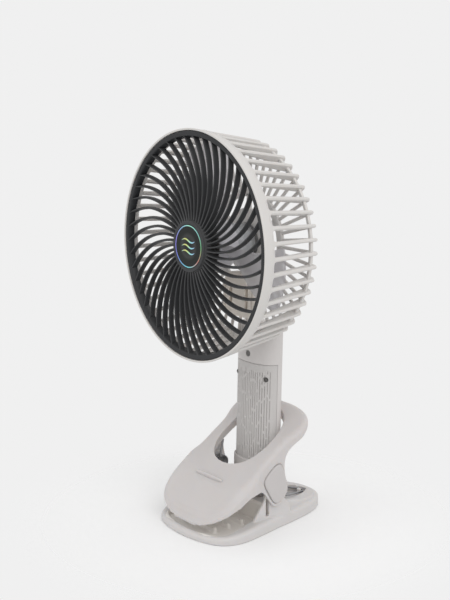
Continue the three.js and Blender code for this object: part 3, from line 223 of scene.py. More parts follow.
def rounded(outline: Sequence[Sequence[float]], radius: float | Sequence[float], steps: int = 4) -> Points:
    """Closed polygon with its corners rounded.

    Args:
        outline: Its corners.
        radius: One rounding, or one for each corner.
        steps: Points made at each corner.

    Returns:
        M x 2 array.
    """
    p = np.asarray(outline, float)
    n = len(p)
    radii = [radius] * n if np.isscalar(radius) else list(radius)
    out = []
    for i in range(n):
        a, b, c = p[i - 1], p[i], p[(i + 1) % n]
        la, lc = np.linalg.norm(a - b), np.linalg.norm(c - b)
        cut = min(radii[i], 0.48 * la, 0.48 * lc)
        start, end = b + (a - b) / la * cut, b + (c - b) / lc * cut
        for t in np.linspace(0, 1, steps):
            out.append((1 - t) ** 2 * start + 2 * t * (1 - t) * b + t * t * end)
    return np.array(out)


def polar(radius: float, angle: float, side: float, depth: float) -> Triple:
    """Point of the head's axes at a radius and depth, moved along the tangent.

    Args:
        radius: Distance from the head's axis.
        angle: Angle from straight up, clockwise from the front.
        side: Distance along the tangent.
        depth: Distance behind the front plane.

    Returns:
        x, y and z in millimetres.
    """
    s, c = math.sin(angle), math.cos(angle)
    return (s * radius + c * side, depth, c * radius - s * side)


# Meshes


class Shape:
    """Vertices and faces of one piece, in millimetres and in its own axes."""

    def __init__(self) -> None:
        """Starts an empty shape."""
        self.points: list[Points] = []
        self.faces: list[tuple[int, ...]] = []
        self.count = 0

    def loft(self, rings: Sequence[Points], capped: bool = True, looped: bool = False) -> "Shape":
        """Adds a skin over a row of closed rings.

        Args:
            rings: N x 3 arrays of equal length.
            capped: Whether its ends are closed.
            looped: Whether the last ring joins the first.

        Returns:
            The shape itself.
        """
        rings = [np.asarray(r, float) for r in rings]
        n, base = len(rings[0]), self.count
        self.points.extend(rings)
        self.count += n * len(rings)
        last = len(rings) if looped else len(rings) - 1
        for r in range(last):
            a, b = base + r * n, base + ((r + 1) % len(rings)) * n
            for i in range(n):
                j = (i + 1) % n
                self.faces.append((a + i, a + j, b + j, b + i))
        if capped and not looped:
            self.faces.append(tuple(base + i for i in reversed(range(n))))
            self.faces.append(tuple(base + (len(rings) - 1) * n + i for i in range(n)))
        return self

    def turned(self, profile: Sequence[Pair], steps: int, centre: Pair = (0.0, 0.0)) -> "Shape":
        """Adds a closed profile of radius and depth, turned about the y axis.

        Args:
            profile: Its corners.
            steps: Facets round it.
            centre: x and z of its axis.

        Returns:
            The shape itself.
        """
        rings = []
        for k in range(steps):
            a = 2 * math.pi * k / steps
            ring = [(centre[0] + r * math.sin(a), d, centre[1] + r * math.cos(a)) for r, d in profile]
            rings.append(np.array(ring))
        return self.loft(rings, looped=True)

    def tube(self, path: Points, radius: float, sides: int) -> "Shape":
        """Adds a round tube along a path, its section carried on without twist.

        Args:
            path: N x 3 points.
            radius: Radius of the tube.
            sides: Points round its section.

        Returns:
            The shape itself.
        """
        p = np.asarray(path, float)
        way = np.gradient(p, axis=0)
        way /= np.linalg.norm(way, axis=1)[:, None]
        up = np.cross(way[0], ASKEW)
        t = angles(sides)
        rings = []
        for point, w in zip(p, way):
            up = up - w * np.dot(up, w)
            up /= np.linalg.norm(up)
            across = np.cross(w, up)
            rings.append(point + radius * (np.cos(t)[:, None] * up + np.sin(t)[:, None] * across))
        return self.loft(rings)

    def slab(self, outline: Points, low: float, high: float, way: str = "z", crown: float = 0.0) -> "Shape":
        """Adds a flat outline given thickness.

        Args:
            outline: N x 2 closed outline.
            low: Where the thickness starts.
            high: Where it ends.
            way: Axis of the thickness: z, or x for an outline in y and z, or y for one in x and z.
            crown: Rounding of the two rims.

        Returns:
            The shape itself.
        """
        outline = np.asarray(outline, float)
        area = np.sum(outline[:, 0] * np.roll(outline[:, 1], -1) - outline[:, 1] * np.roll(outline[:, 0], -1))
        if area < 0:
            outline = outline[::-1]
        levels = [(low, 0.0), (high, 0.0)]
        if crown:
            turn = [(math.sin(a), 1 - math.cos(a)) for a in np.linspace(0, math.pi / 2, 4)]
            levels = [(low + crown * (1 - s), crown * c) for s, c in reversed(turn)]
            levels += [(high - crown * (1 - s), crown * c) for s, c in turn]
        rings = []
        for level, shrink in levels:
            flat = inset(outline, shrink)
            column = np.full(len(flat), level)
            if way == "z":
                rings.append(np.c_[flat, column])
            elif way == "x":
                rings.append(np.c_[column, flat])
            else:
                rings.append(np.c_[flat[:, 0], column, flat[:, 1]])
        return self.loft(rings)

    def build(self, name: str, axes: Axes = FLOOR_AXES) -> bpy.types.Object:
        """Makes the Blender object.

        Args:
            name: The piece's name.
            axes: The axes that the shape was drawn in.

        Returns:
            A linked mesh object whose faces point outwards.
        """
        mesh = bpy.data.meshes.new(name)
        mesh.from_pydata(axes.world(np.vstack(self.points)).tolist(), [], self.faces)
        made = bmesh.new()
        made.from_mesh(mesh)
        bmesh.ops.recalc_face_normals(made, faces=made.faces)
        made.to_mesh(mesh)
        made.free()
        obj = bpy.data.objects.new(name, mesh)
        bpy.context.scene.collection.objects.link(obj)
        return obj


def lathe(
    name: str, profile: Sequence[Pair], steps: int, centre: Pair = (0.0, 0.0), axes: Axes = HEAD_AXES,
) -> bpy.types.Object:
    """Makes a turned piece.

    Args:
        name: Its name.
        profile: Its corners, as radius and depth.
        steps: Facets round it.
        centre: x and z of its axis.
        axes: The axes that it is drawn in.

    Returns:
        The piece.
    """
    return Shape().turned(profile, steps, centre).build(name, axes)


def bar(radius: float, at: Pair, ends: Pair, axes: Axes = FLOOR_AXES, steps: int = 40) -> bpy.types.Object:
    """Makes a round bar along x.

    Args:
        radius: Its radius.
        at: y and z of its axis.
        ends: x of its two ends.
        axes: The axes that it is drawn in.
        steps: Facets round it.

    Returns:
        The bar.
    """
    ring = [(at[0] + radius * math.cos(a), at[1] + radius * math.sin(a)) for a in angles(steps)]
    return Shape().loft([np.array([(x, y, z) for y, z in ring]) for x in ends]).build("bar", axes)


def settle(obj: bpy.types.Object) -> bpy.types.Object:
    """Turns an object's modifiers into plain mesh.

    Args:
        obj: The object.

    Returns:
        The same object.
    """
    graph = bpy.context.evaluated_depsgraph_get()
    mesh = bpy.data.meshes.new_from_object(obj.evaluated_get(graph))
    old = obj.data
    obj.modifiers.clear()
    obj.data = mesh
    bpy.data.meshes.remove(old)
    return obj


def combine(obj: bpy.types.Object, other: bpy.types.Object, how: Cut) -> bpy.types.Object:
    """Joins, cuts or limits one solid by another, which is used up.

    Args:
        obj: The solid that changes.
        other: The solid that it meets.
        how: What happens.

    Returns:
        The changed object.
    """
    mod = obj.modifiers.new("combine", "BOOLEAN")
    mod.operation = how.value
    mod.solver = "MANIFOLD"
    mod.object = other
    settle(obj)
    mesh = other.data
    bpy.data.objects.remove(other)
    bpy.data.meshes.remove(mesh)
    return obj


def screw_holes(obj: bpy.types.Object, depth: Pair) -> None:
    """Drills the holes of the motor's two screws.

    Args:
        obj: What they go through.
        depth: Where they start and end.
    """
    for side in (-1, 1):
        hole = lathe("hole", box((0, SCREW_HOLE), depth), MOTOR_SCREW_STEPS, (side * MOTOR_SCREW_OFF, 0.0))
        combine(obj, hole, Cut.CARVE)


def soften(obj: bpy.types.Object, grain: float, rounds: int) -> bpy.types.Object:
    """Rounds every edge of a moulding, as a tool's cutter leaves it.

    Args:
        obj: The solid.
        grain: Size of the new faces in millimetres.
        rounds: Rounds of smoothing.

    Returns:
        The same object.
    """
    remesh = obj.modifiers.new("remesh", "REMESH")
    remesh.mode = "VOXEL"
    remesh.voxel_size = grain * MM
    smooth = obj.modifiers.new("smooth", "SMOOTH")
    smooth.factor = SMOOTHING
    smooth.iterations = rounds
    return settle(obj)


def feather(obj: bpy.types.Object, near: Callable[[Vector], bool], rounds: int) -> None:
    """Evens out the small steps along an edge.

    Args:
        obj: The piece.
        near: The test that picks the edge's points, in millimetres.
        rounds: How many times each point moves towards its neighbours.
    """
    mesh = bmesh.new()
    mesh.from_mesh(obj.data)
    verts = [v for v in mesh.verts if near(v.co / MM)]
    for _ in range(rounds):
        bmesh.ops.smooth_vert(
            mesh, verts=verts, factor=SMOOTHING, use_axis_x=True, use_axis_y=True, use_axis_z=True,
        )
    mesh.to_mesh(obj.data)
    mesh.free()


def finished(
    obj: bpy.types.Object,
    body: BodyName,
    finish: "Finish",
    nodes: Iterable[str] = (),
    crease: float = 38.0,
) -> bpy.types.Object:
    """Shades and dresses a piece and hangs it on its body.

    Args:
        obj: The piece.
        body: The body that it moves with.
        finish: What it is made of.
        nodes: The solids that it stands for.
        crease: Angle in degrees above which an edge stays sharp.

    Returns:
        The same object.
    """
    obj.data.shade_smooth()
    obj.data.set_sharp_from_angle(angle=math.radians(crease))
    obj.data.materials.clear()
    obj.data.materials.append(finish.material())
    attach(obj, body.value)
    names = list(nodes)
    if names:
        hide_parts(*names)
    LOG.info("%s: %d faces", obj.name, len(obj.data.polygons))
    return obj


# Finishes


def paint_light_inside(obj: bpy.types.Object, finish: "Finish", inside: Callable[[Vector, Vector], bool]) -> None:
    """Gives the faces that a test picks a second finish, a lighter colour painted where those faces lie in
    shade.

    Args:
        obj: The piece.
        finish: The second finish, whose lighter colour is painted light.
        inside: The test, on a face's middle in millimetres and its normal.
    """
    obj.data.materials.append(finish.material())
    for face in obj.data.polygons:
        if inside(face.center / MM, face.normal):
            face.material_index = len(obj.data.materials) - 1


def linear(colour: Sequence[float]) -> Tint:
    """Turns a screen colour into the shader's linear colour.

    Args:
        colour: Red, green and blue of 0 to 255.

    Returns:
        Linear red, green and blue with a full alpha.
    """
    shares = [c / 255 for c in colour]
    red, green, blue = (v / 12.92 if v <= 0.04045 else ((v + 0.055) / 1.055) ** 2.4 for v in shares)
    return (red, green, blue, 1.0)


DUST_COLOUR: Triple = (214, 210, 204)


class Graph:
    """A shader tree that nodes and links are added to."""

    def __init__(self, tree: bpy.types.NodeTree) -> None:
        """Takes the tree; start and end are for a group's own sockets."""
        self.tree = tree
        self.start: bpy.types.NodeOutputs | None = None
        self.end: bpy.types.NodeInputs | None = None

    @classmethod
    def group(cls, name: str, inputs: dict[str, float], outputs: Sequence[str]) -> "Graph":
        """Starts a node group with plain number sockets.

        Args:
            name: The group's name.
            inputs: Its inputs and their usual values.
            outputs: Its outputs.

        Returns:
            The graph, whose start and end hold the group's own sockets.
        """
        tree = bpy.data.node_groups.new(name, "ShaderNodeTree")
        for title, value in inputs.items():
            socket = tree.interface.new_socket(title, in_out="INPUT", socket_type="NodeSocketFloat")
            socket.default_value = value
        for title in outputs:
            tree.interface.new_socket(title, in_out="OUTPUT", socket_type="NodeSocketFloat")
        graph = cls(tree)
        graph.start = tree.nodes.new("NodeGroupInput").outputs
        graph.end = tree.nodes.new("NodeGroupOutput").inputs
        return graph

    @classmethod
    def material(cls, title: str) -> tuple[bpy.types.Material, "Graph", bpy.types.Node]:
        """Starts a material.

        Args:
            title: Its name.

        Returns:
            The material, its graph and its shader.
        """
        mat = bpy.data.materials.new(title)
        mat.use_nodes = True
        return mat, cls(mat.node_tree), mat.node_tree.nodes["Principled BSDF"]

    @staticmethod
    def fill(node: bpy.types.Node, values: dict[str, float | Sequence[float]]) -> None:
        """Sets plain values on a node's own sockets."""
        for name, value in values.items():
            node.inputs[name].default_value = value

    def node(self, kind: str, values: dict[str, float | Sequence[float]] | None = None) -> bpy.types.Node:
        """Adds a node.

        Args:
            kind: Its type, without the leading ShaderNode.
            values: Plain values of its inputs.

        Returns:
            The node.
        """
        made = self.tree.nodes.new("ShaderNode" + kind)
        self.fill(made, values or {})
        return made

    def link(self, start: bpy.types.NodeSocket, end: bpy.types.NodeSocket) -> None:
        """Links two sockets."""
        self.tree.links.new(start, end)

    def math(self, kind: str, *terms: bpy.types.NodeSocket) -> bpy.types.Node:
        """Adds a sum whose terms come from other nodes.

        Args:
            kind: What it works out.
            terms: The sockets that feed it.

        Returns:
            The node.
        """
        made = self.node("Math")
        made.operation = kind
        for socket, term in zip(made.inputs, terms):
            self.link(term, socket)
        return made

    def shared(self, tree: bpy.types.NodeTree, values: dict[str, float] | None = None) -> bpy.types.Node:
        """Adds a shared group with this material's own values.

        Args:
            tree: The group.
            values: Values of its inputs.

        Returns:
            The node.
        """
        made = self.tree.nodes.new("ShaderNodeGroup")
        made.node_tree = tree
        self.fill(made, values or {})
        return made

    def mix(
        self,
        factor: bpy.types.NodeSocket,
        first: "bpy.types.NodeSocket | Tint",
        second: "bpy.types.NodeSocket | Tint",
    ) -> bpy.types.NodeSocket:
        """Mixes two colours.

        Args:
            factor: Share of the second colour.
            first: A socket or a plain colour.
            second: A socket or a plain colour.

        Returns:
            The socket of the result.
        """
        made = self.node("Mix")
        made.data_type = "RGBA"
        share, low, high = made.inputs[0], made.inputs[6], made.inputs[7]
        self.link(factor, share)
        for value, socket in ((first, low), (second, high)):
            if isinstance(value, tuple):
                socket.default_value = value
            else:
                self.link(value, socket)
        return made.outputs[2]

    def spread(self, tone: bpy.types.NodeSocket, low: float, high: float) -> bpy.types.NodeSocket:
        """Turns a tone of 0 to 1 into a value between two others.

        Args:
            tone: The tone's socket.
            low: Value at 0.
            high: Value at 1.

        Returns:
            The socket of the result.
        """
        span = self.node("MapRange", {"To Min": low, "To Max": high})
        self.link(tone, span.inputs["Value"])
        return span.outputs["Result"]


class Groups:
    """Shader groups that several finishes share, each made once."""

    @staticmethod
    def grain() -> bpy.types.NodeTree:
        """Fine texture of a moulding tool, with broad patches of tone.

        Returns:
            A group with inputs Size and Patch, and outputs Height and Tone.
        """
        name = "moulded_grain"
        if name in bpy.data.node_groups:
            return bpy.data.node_groups[name]
        graph = Graph.group(name, {"Size": 4000.0, "Patch": 45.0}, ("Height", "Tone"))
        place = graph.node("TexCoord")
        fine = graph.node("TexNoise", {"Detail": 2.0})
        broad = graph.node("TexNoise", {"Detail": 3.0, "Roughness": 0.6})
        for noise, scale, result in ((fine, "Size", "Height"), (broad, "Patch", "Tone")):
            graph.link(place.outputs["Object"], noise.inputs["Vector"])
            graph.link(graph.start[scale], noise.inputs["Scale"])
            graph.link(noise.outputs["Fac"], graph.end[result])
        return graph.tree

    @staticmethod
    def wear_and_shade() -> bpy.types.NodeTree:
        """Masks of the edges that hands rub, and of the concave creases where shade is painted into the
        colour.

        Returns:
            A group with input Reach, an output Edge for the rubbed edges, and an output for the painted shade
            in creases.
        """
        name = "edge_wear"
        if name in bpy.data.node_groups:
            return bpy.data.node_groups[name]
        graph = Graph.group(name, {"Reach": 0.54}, ("Edge", "CreaseShade"))
        bend = graph.node("NewGeometry").outputs["Pointiness"]
        raised = graph.node("MapRange", {"From Max": 0.66})
        graph.link(graph.start["Reach"], raised.inputs["From Min"])
        # Painted shade: concave places, found by pointiness, get a darker colour.
        sunk = graph.node("MapRange", {"From Min": 0.47, "From Max": 0.36})
        for span, result in ((raised, "Edge"), (sunk, "CreaseShade")):
            graph.link(bend, span.inputs["Value"])
            graph.link(span.outputs["Result"], graph.end[result])
        return graph.tree

    @staticmethod
    def dust() -> bpy.types.NodeTree:
        """Mask of the faint dust on what faces up.

        Returns:
            A group with input Amount and output Mask.
        """
        name = "settled_dust"
        if name in bpy.data.node_groups:
            return bpy.data.node_groups[name]
        graph = Graph.group(name, {"Amount": 0.1}, ("Mask",))
        split = graph.node("SeparateXYZ")
        graph.link(graph.node("NewGeometry").outputs["Normal"], split.inputs[0])
        noise = graph.node("TexNoise", {"Scale": 420.0})
        graph.link(graph.node("TexCoord").outputs["Object"], noise.inputs["Vector"])
        up = graph.math("MULTIPLY", split.outputs["Z"], noise.outputs["Fac"])
        up.use_clamp = True
        graph.link(graph.math("MULTIPLY", up.outputs[0], graph.start["Amount"]).outputs[0], graph.end["Mask"])
        return graph.tree


@dataclass(frozen=True)
class Finish:
    """A surface: moulded plastic, or metal where metallic is 1."""

    slot: str
    title: str
    colour: Triple
    roughness: float = 0.5
    roughness_spread: float = 0.08
    tone: float = 0.03
    grain: float = 2600.0
    bump: float = 0.00004
    metallic: float = 0.0
    coat: float = 0.0
    alpha: float = 1.0
    specular: float = 0.5
    edge: float = 0.06
    dust: float = 0.06
    subsurface: float = 0.0
    # How much darker the colour is painted in concave creases: painted shade.
    hollow: float = 0.25

    def material(self) -> bpy.types.Material:
        """Makes the material once and hands it out after that.

        Returns:
            The node material.
        """
        if self.title in bpy.data.materials:
            return bpy.data.materials[self.title]
        mat, graph, shader = Graph.material(self.title)
        graph.fill(shader, {
            "Metallic": self.metallic,
            "Coat Weight": self.coat,
            "Coat Roughness": 0.15,
            "Alpha": self.alpha,
            "Specular IOR Level": self.specular,
            "Subsurface Weight": self.subsurface,
            "Subsurface Scale": 0.004,
            "Subsurface Radius": (1.0, 0.75, 0.55),
        })
        grain = graph.shared(Groups.grain(), {"Size": self.grain})
        wear_and_shade = graph.shared(Groups.wear_and_shade())
        dust = graph.shared(Groups.dust(), {"Amount": self.dust})
        base = linear(self.colour)
        low = tuple(c * (1 - self.tone) for c in base[:3]) + (1.0,)
        high = tuple(min(1.0, c * (1 + self.tone)) for c in base[:3]) + (1.0,)
        worn = tuple(min(1.0, c + self.edge * (1 - c)) for c in base[:3]) + (1.0,)
        # Painted shade: the colour darkened by the hollow share, mixed in where creases are concave.
        shade = tuple(c * (1 - self.hollow) for c in base[:3]) + (1.0,)
        colour = graph.mix(grain.outputs["Tone"], low, high)
        colour = graph.mix(wear_and_shade.outputs["Edge"], colour, worn)
        colour = graph.mix(wear_and_shade.outputs["CreaseShade"], colour, shade)
        colour = graph.mix(dust.outputs["Mask"], colour, linear(DUST_COLOUR))
        graph.link(colour, shader.inputs["Base Color"])
        low, high = self.roughness - self.roughness_spread, self.roughness + self.roughness_spread
        graph.link(graph.spread(grain.outputs["Tone"], low, high), shader.inputs["Roughness"])
        bump = graph.node("Bump", {"Strength": 0.6, "Distance": self.bump})
        graph.link(grain.outputs["Height"], bump.inputs["Height"])
        graph.link(bump.outputs["Normal"], shader.inputs["Normal"])
        return mat


@dataclass(frozen=True)
class RainbowFinish:
    """Thin film whose colour goes round or across a dark badge."""

    slot: str
    title: str
    stops: tuple[tuple[float, Triple], ...]
    across: bool = False
    half_width: float = 8.0

    def material(self) -> bpy.types.Material:
        """Makes the material once and hands it out after that.

        Returns:
            The node material.
        """
        if self.title in bpy.data.materials:
            return bpy.data.materials[self.title]
        mat, graph, shader = Graph.material(self.title)
        graph.fill(shader, {"Metallic": 0.25})
        split = graph.node("SeparateXYZ")
        graph.link(graph.node("TexCoord").outputs["Object"], split.inputs[0])
        x, z = split.outputs["X"], split.outputs["Z"]
        if self.across:
            place, half = x, self.half_width * MM
        else:
            rise = graph.math("SUBTRACT", z)
            rise.inputs[1].default_value = float(HEAD_AXES.world(np.zeros((1, 3)))[0][2])
            place, half = graph.math("ARCTAN2", x, rise.outputs[0]).outputs[0], math.pi
        span = graph.node("MapRange", {"From Min": -half, "From Max": half})
        graph.link(place, span.inputs["Value"])
        ramp = graph.node("ValToRGB")
        stops = ramp.color_ramp.elements
        for stop, (position, colour) in ((stops[0], self.stops[0]), (stops[1], self.stops[-1])):
            stop.position, stop.color = position, linear(colour)
        for position, colour in self.stops[1:-1]:
            stops.new(position).color = linear(colour)
        graph.link(span.outputs["Result"], ramp.inputs["Fac"])
        graph.link(ramp.outputs["Color"], shader.inputs["Base Color"])
        tone = graph.shared(Groups.grain()).outputs["Tone"]
        graph.link(graph.spread(tone, 0.22, 0.4), shader.inputs["Roughness"])
        return mat


# Each finish's hollow value is painted shade in its concave creases; the grip's grooves and the wire box's
# slots get the most.
GUARD = Finish("guard", "charcoal_guard", (43, 44, 46), roughness=0.42, specular=0.28, edge=0.1, dust=0.03)
BADGE = Finish("badge", "badge_face", (27, 31, 29), roughness=0.24, specular=0.2, bump=0.00001, dust=0.01)
CAGE = Finish("cage", "cage_shell", (211, 208, 205), roughness=0.48, subsurface=0.05, hollow=0.05)
# Painted light: the wire box is a lighter, warmer copy of the cage plastic, standing in for light bounced
# into the shaded back of the cage.
WIRE_BOX_PAINTED_LIGHT = Finish("cage", "wire_box", (238, 230, 220), roughness=0.5, hollow=0.3)
SMOKE = Finish("smoke", "smoke_blade", (222, 219, 222), roughness=0.3, alpha=0.62, bump=0.00001, coat=0.2)
SMOKE_WALL = Finish("smoke", "smoke_wall", (196, 195, 200), roughness=0.35, bump=0.00001, coat=0.2)
SMOKE_HUB = Finish("smoke", "smoke_hub", (62, 58, 56), roughness=0.35, bump=0.00001, coat=0.2)
NECK = Finish("neck", "neck_shell", (206, 202, 200), roughness=0.5)
GRIP = Finish("grip", "grip_shell", (195, 192, 190), roughness=0.55, edge=0.0, hollow=0.45)
FOOT = Finish("foot", "foot_moulding", (204, 201, 200), roughness=0.5, hollow=0.05, subsurface=0.3)
JAW = Finish("jaw", "jaw_moulding", (201, 197, 196), roughness=0.5, hollow=0.05, subsurface=0.3)
# Painted light: lighter, warmer copies of the jaw and foot mouldings for the clamp's inner faces, standing in
# for light bounced into their shade.
JAW_INSIDE_PAINTED_LIGHT = Finish("jaw", "jaw_inside", (234, 230, 225), roughness=0.55, hollow=0.0)
FOOT_INSIDE_PAINTED_LIGHT = Finish("foot", "foot_inside", (236, 232, 227), roughness=0.55, hollow=0.0)
CAP = Finish("jaw", "cap_moulding", (194, 190, 189), roughness=0.46, hollow=0.1)
COLLAR = Finish("grip", "collar_moulding", (196, 192, 190), roughness=0.5)
STEEL = Finish("steel", "plain_steel", (176, 178, 181), roughness=0.3, metallic=1.0, tone=0.08, dust=0.0)
SPRING = Finish(
    "dark_steel", "spring_wire", (146, 146, 148), roughness=0.32, metallic=1.0, tone=0.12, dust=0.0,
)
SCREW = Finish("dark_steel", "dark_screw", (92, 90, 88), roughness=0.4, metallic=1.0, tone=0.1, dust=0.0)
FERRITE = Finish("ferrite", "ferrite", (44, 44, 46), roughness=0.7)
COPPER = Finish("copper", "wound_copper", (184, 112, 64), roughness=0.35, metallic=1.0, dust=0.0)
BRONZE = Finish("bronze", "bearing_bronze", (168, 128, 78), roughness=0.45, metallic=1.0, dust=0.0)
BLACK = Finish("black_plastic", "black_plastic", (30, 30, 30), roughness=0.45)
CELL = Finish("cell", "cell_sleeve", (64, 110, 172), roughness=0.35)
BOARD = Finish("board", "green_board", (38, 88, 56), roughness=0.35, coat=0.3)
LENS = Finish("lens", "frosted_lens", (230, 228, 218), roughness=0.25, alpha=0.85)
DRESSED = {
    "motor_magnet": FERRITE,
    "motor_rotor": COPPER,
    "motor_shaft": STEEL,
    "bearing_front": BRONZE,
    "bearing_rear": BRONZE,
    "motor_screw_left": SCREW,
    "motor_screw_right": SCREW,
    "battery_cell_left": CELL,
    "battery_cell_right": CELL,
    "control_board": BOARD,
    "board_screw_left": SCREW,
    "board_screw_right": SCREW,
    "usb_port": STEEL,
    "neck_screw": SCREW,
    "shell_screw_left": SCREW,
    "shell_screw_right": SCREW,
    "tilt_pin": STEEL,
    "hinge_pin_left": STEEL,
    "hinge_pin_right": STEEL,
}
RAINBOW_RING = RainbowFinish("badge", "film_ring", (
    (0.0, (128, 220, 227)), (0.16, (128, 139, 227)), (0.3, (162, 148, 239)), (0.42, (151, 197, 227)),
    (0.5, (174, 241, 216)), (0.62, (153, 220, 216)), (0.74, (128, 195, 139)), (0.86, (204, 139, 130)),
    (1.0, (128, 220, 227)),
))
RAINBOW_LINES = RainbowFinish("badge", "film_lines", (
    (0.0, (148, 204, 195)), (0.28, (227, 220, 128)), (0.45, (204, 232, 151)), (0.7, (162, 232, 239)),
    (1.0, (174, 204, 248)),
), across=True)


# Sub-assemblies


@dataclass
class Guard:
    """The front grille: a rim, swept ribs and a hub with a seat for the badge."""

    outer: float = 83.2
    inner_front: float = 79.6
    inner_back: float = 77.8
    front: float = 0.5
    back: float = 5.1
    ribs: int = 46
    hub: float = 19.0
    sweep: float = 22.2
    straight: float = 20.0
    swept: float = 58.0
    curl: float = 1.35
    rib_front: float = 0.9
    rib_edge: float = 0.62
    rib_foot: float = 1.08
    rib_sunk: float = 0.05

    RIB_RUN = (18.2, 77.6, 17)
    # Radius, share of the width, and depth of the front face, up the rim's chamfer.
    RIB_END = ((78.3, 0.85, 0.85), (79.1, 0.6, 0.72), (79.9, 0.2, 0.56))
    HUB_FACE = ((0, 0), (15.9, 0), (15.9, -1.05), (16.25, -1.5), (18.1, -1.5), (18.55, -1.2))

    def angle(self, radius: float) -> float:
        """Angle of a rib from straight up at a radius, in radians."""
        share = max(0.0, radius - self.straight) / self.swept
        return math.radians(-self.sweep * share**self.curl)

    def rib(self, shape: Shape, start: float) -> None:
        """Adds one rib, whose ends run up the rim's chamfer as a wedge.

        Args:
            shape: The shape that it joins.
            start: The rib's place round the guard, in radians.
        """
        stations = [(r, 1.0, self.rib_front) for r in np.linspace(*self.RIB_RUN)]
        rings = []
        for radius, share, front in (*stations, *self.RIB_END):
            angle = self.angle(radius)
            slope = (self.angle(radius + 0.5) - self.angle(radius - 0.5)) * radius
            wider = math.hypot(1, slope)
            edge, foot = self.rib_edge * wider * share, self.rib_foot * wider * share
            back = self.back - self.rib_sunk
            section = [
                (-edge * 0.55, front), (edge * 0.55, front), (edge, front + 0.45), (foot, back - 0.35),
                (foot * 0.7, back), (-foot * 0.7, back), (-foot, back - 0.35), (-edge, front + 0.45),
            ]
            rings.append(np.array([polar(radius, start + angle, s, d) for s, d in section]))
        shape.loft(rings)

    def make(self) -> bpy.types.Object:
        """Makes the grille.

        Returns:
            The grille's object.
        """
        shape = Shape()
        rim = rounded(
            [
                (self.outer, self.front), (self.outer, self.back), (self.inner_back, self.back),
                (self.inner_front, self.front),
            ],
            [0.7, 0.4, 0.4, 0.5],
            4,
        )
        shape.turned(rim, self.ribs * 4)
        shape.turned((*self.HUB_FACE, (self.hub, self.back), (0, 5)), self.ribs * 3)
        for i in range(self.ribs):
            self.rib(shape, 2 * math.pi * i / self.ribs)
        obj = shape.build("guard_grille", HEAD_AXES)
        return finished(obj, BodyName.HANDLE, GUARD, ["front_grille"], 32)


@dataclass
class Badge:
    """The hub's disc, with a thin-film ring and three moulded lines of moving air."""

    radius: float = 15.6
    front: float = -1.2
    back: float = -0.3
    lines: int = 3
    length: float = 15.0
    pitch: float = 4.2
    height: float = 1.1
    width: float = 1.1
    proud: float = 0.06
    taper: float = 0.35
    blunt: float = 0.12
    band_inner: float = 14.75

    # Radius, and how far behind the badge's front.
    DISH = ((0, -0.12), (8, -0.09), (12, -0.04), (14.6, 0), (14.9, 0), (15.6, 0.1))
    # Share of a line's half width, and how far ahead of the disc.
    LINE_SECTION = ((-1, -0.3), (-1, 0.15), (-0.6, 0.32), (0.6, 0.32), (1, 0.15), (1, -0.3))

    def make(self) -> list[bpy.types.Object]:
        """Makes the disc, the ring and the lines.

        Returns:
            The three pieces.
        """
        r, f = self.radius, self.front
        face = [(radius, f + rise) for radius, rise in self.DISH]
        disc = lathe("badge_disc", face + [(r, self.back), (0, self.back)], 128)
        finished(disc, BodyName.HANDLE, BADGE, ["hub_badge"])
        band = rounded(box((self.band_inner, r - 0.05), (f - 0.16, f + 0.2)), 0.1, 3)
        ring = lathe("badge_film_ring", band, 144)
        finished(ring, BodyName.HANDLE, RAINBOW_RING, ["hub_badge"])
        shape = Shape()
        for i in range(self.lines):
            self.line(shape, (i - (self.lines - 1) / 2) * self.pitch)
        lines = shape.build("badge_air_lines", HEAD_AXES)
        finished(lines, BodyName.HANDLE, RAINBOW_LINES, ["hub_badge"])
        return [disc, ring, lines]

    def line(self, shape: Shape, rise: float) -> None:
        """Adds one line of moving air.

        Args:
            shape: The shape that it joins.
            rise: Its height above the badge's middle.
        """
        rings = []
        for share in np.linspace(0, 1, 41):
            x = (share - 0.5) * self.length
            z = rise + math.sin(share * 2 * math.pi) * self.height
            slope = math.cos(share * 2 * math.pi) * self.height * 2 * math.pi / self.length
            nx, nz = -slope / math.hypot(1, slope), 1 / math.hypot(1, slope)
            end = math.sin(math.pi * share) ** self.taper if 0 < share < 1 else self.blunt
            half = self.width / 2 * end
            section = [(half * side, d) for side, d in self.LINE_SECTION]
            top = self.front - self.proud
            rings.append(np.array([(x + nx * s, top - d, z + nz * s) for s, d in section]))
        shape.loft(rings)


